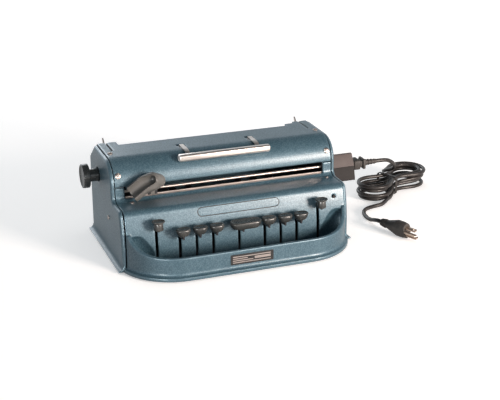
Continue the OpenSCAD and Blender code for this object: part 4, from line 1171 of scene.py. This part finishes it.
class BRAILLER_OT_stage(bpy.types.Operator):
    """Sets the camera, the floor and the lights"""

    bl_idname = "brailler.stage"
    bl_label = "Stage"

    def execute(self, context):
        sizes = context.scene.brailler_stage
        context.scene.view_settings.view_transform = "Standard"
        camera = bpy.data.cameras.new("photo_camera")
        camera.lens, camera.sensor_width = sizes.lens, 36
        camera.clip_end = 50
        view = bpy.data.objects.new("photo_camera", camera)
        view.location = mm(-518.82, -1485.14, 671.04)
        view.rotation_euler = Vector((0.32719, 0.87351, -0.36046)).to_track_quat("-Z", "Y").to_euler()
        context.scene.collection.objects.link(view)
        context.scene.camera = view
        bpy.ops.mesh.primitive_plane_add(size=12, location=(0, 0, -0.0002))
        floor = added("floor")
        floor.data.materials.append(self.floor_finish(sizes))
        self.lamp("key_lamp", (1.24, -2.08, 0.56), (0.6, 0.8), sizes.key, (1.0, 0.86, 0.77))
        self.lamp("fill_lamp", (-0.2, -2.6, 0.7), (1.6, 1.0), sizes.fill, (0.96, 0.98, 1.0))
        self.lamp("back_lamp", (-0.5, 2.7, 1.3), (2.0, 1.0), sizes.back, (0.94, 0.97, 1.0))
        # A low light on the left only shines in the rounded rims.
        rims = self.lamp("rim_lamp", (-1.5, -1.9, 0.3), (0.3, 0.5), sizes.rim, (1.0, 1.0, 0.97))
        rims.visible_diffuse = False
        # The overhead light would show in the curved cover, so it only lights and doesn't shine.
        above = self.lamp("top_lamp", (0.1, 0.2, 2.2), (2.4, 2.4), sizes.top, (1.0, 1.0, 1.0))
        above.visible_glossy = False
        self.surroundings(context.scene, sizes.sky)
        return {"FINISHED"}

    def lamp(self, name, place, size, power, tint):
        lamp = bpy.data.lights.new(name, "AREA")
        lamp.shape, lamp.size, lamp.size_y = "RECTANGLE", size[0], size[1]
        lamp.energy, lamp.color = power, tint
        obj = bpy.data.objects.new(name, lamp)
        obj.location = place
        obj.rotation_euler = (Vector((0.02, 0, 0.06)) - Vector(place)).to_track_quat("-Z", "Y").to_euler()
        bpy.context.scene.collection.objects.link(obj)
        return obj

    def floor_finish(self, sizes):
        """White card that keeps the shadow and is lifted to white where the camera sees it."""
        material = bpy.data.materials.new("white_floor")
        material.use_nodes = True
        tree = material.node_tree
        tree.nodes.clear()
        card = put(tree, "BsdfDiffuse", {"Color": (0.82, 0.82, 0.82, 1)}).outputs[0]
        path = put(tree, "LightPath").outputs
        shone = sums(tree, "MULTIPLY", path["Is Glossy Ray"], 0.4)
        seen = sums(tree, "MAXIMUM", path["Is Camera Ray"], shone)
        # The lamps light the card less towards its far right and far off, and the lift makes that up.
        where = put(tree, "TexCoord").outputs["Object"]
        place = put(tree, "SeparateXYZ", {0: where}).outputs
        across, back = sums(tree, "MULTIPLY", place["X"], 0.04), sums(tree, "MULTIPLY", place["Y"], 0.06)
        missing = sums(tree, "ADD", across, back)
        lift = ranged(tree, missing, -0.3, 0.3, sizes.lift - 0.3, sizes.lift + 0.3)
        away = put(tree, "VectorMath", {0: where}, operation="LENGTH").outputs["Value"]
        lift = sums(tree, "ADD", lift, ranged(tree, away, 1.2, 3, 0, 0.6))
        strength = sums(tree, "MULTIPLY", seen, lift)
        glow = put(tree, "Emission", {"Color": (1, 1, 1, 1), "Strength": strength}).outputs[0]
        both = put(tree, "AddShader", {0: card, 1: glow}).outputs[0]
        tree.links.new(both, put(tree, "OutputMaterial").inputs["Surface"])
        return material

    def surroundings(self, scene, strength):
        """A studio that is pale near the horizon and dim overhead."""
        world = bpy.data.worlds.new("studio")
        world.use_nodes = True
        tree = world.node_tree
        tree.nodes.clear()
        way = put(tree, "TexCoord").outputs["Generated"]
        height = put(tree, "SeparateXYZ", {0: way}).outputs["Z"]
        bright = ranged(tree, height, 0.34, 0.62, 1.0, 0.12)
        path = put(tree, "LightPath").outputs
        seen = sums(tree, "MAXIMUM", path["Is Camera Ray"], path["Is Transmission Ray"])
        lit = sums(tree, "MULTIPLY", bright, strength)
        gloss = sums(tree, "MULTIPLY", bright, 1.0)
        level = put(tree, "Mix", {0: path["Is Glossy Ray"], 2: lit, 3: gloss}).outputs[0]
        level = put(tree, "Mix", {0: seen, 2: level, 3: 1.0}).outputs[0]
        back = put(tree, "Background", {"Color": (0.88, 0.95, 1, 1), "Strength": level}).outputs[0]
        tree.links.new(back, put(tree, "OutputWorld").inputs["Surface"])
        scene.world = world


OPERATORS = [
    BRAILLER_OT_finishes,
    BRAILLER_OT_stage,
    BRAILLER_OT_cord,
    BRAILLER_OT_castings,
    BRAILLER_OT_badge,
    BRAILLER_OT_label,
    BRAILLER_OT_screws,
    BRAILLER_OT_feet,
    BRAILLER_OT_keys,
    BRAILLER_OT_handle,
    BRAILLER_OT_knob,
    BRAILLER_OT_scoop,
    BRAILLER_OT_release_tips,
    BRAILLER_OT_slit_shade_sheets,
    BRAILLER_OT_springs,
    BRAILLER_OT_power_box,
]


class BRAILLER_PT_panel(bpy.types.Panel):
    """Lists what builds the brailler"""

    bl_idname = "BRAILLER_PT_panel"
    bl_label = "Electric Brailler"
    bl_space_type = "VIEW_3D"
    bl_region_type = "UI"
    bl_category = "Brailler"

    def draw(self, context):
        for name, group in GROUPS.items():
            box = self.layout.box()
            for prop in group.__annotations__:
                box.prop(getattr(context.scene, name), prop)
        for operator in OPERATORS:
            self.layout.operator(operator.bl_idname)


def register():
    for cls in (*GROUPS.values(), *OPERATORS, BRAILLER_PT_panel):
        bpy.utils.register_class(cls)
    for name, group in GROUPS.items():
        setattr(bpy.types.Scene, name, PointerProperty(type=group))


def unregister():
    for name in GROUPS:
        delattr(bpy.types.Scene, name)
    for cls in (BRAILLER_PT_panel, *reversed(OPERATORS), *reversed(GROUPS.values())):
        bpy.utils.unregister_class(cls)


def main():
    register()
    for operator in OPERATORS:
        group, name = operator.bl_idname.split(".")
        getattr(getattr(bpy.ops, group), name)()


if __name__ == "__main__":
    main()
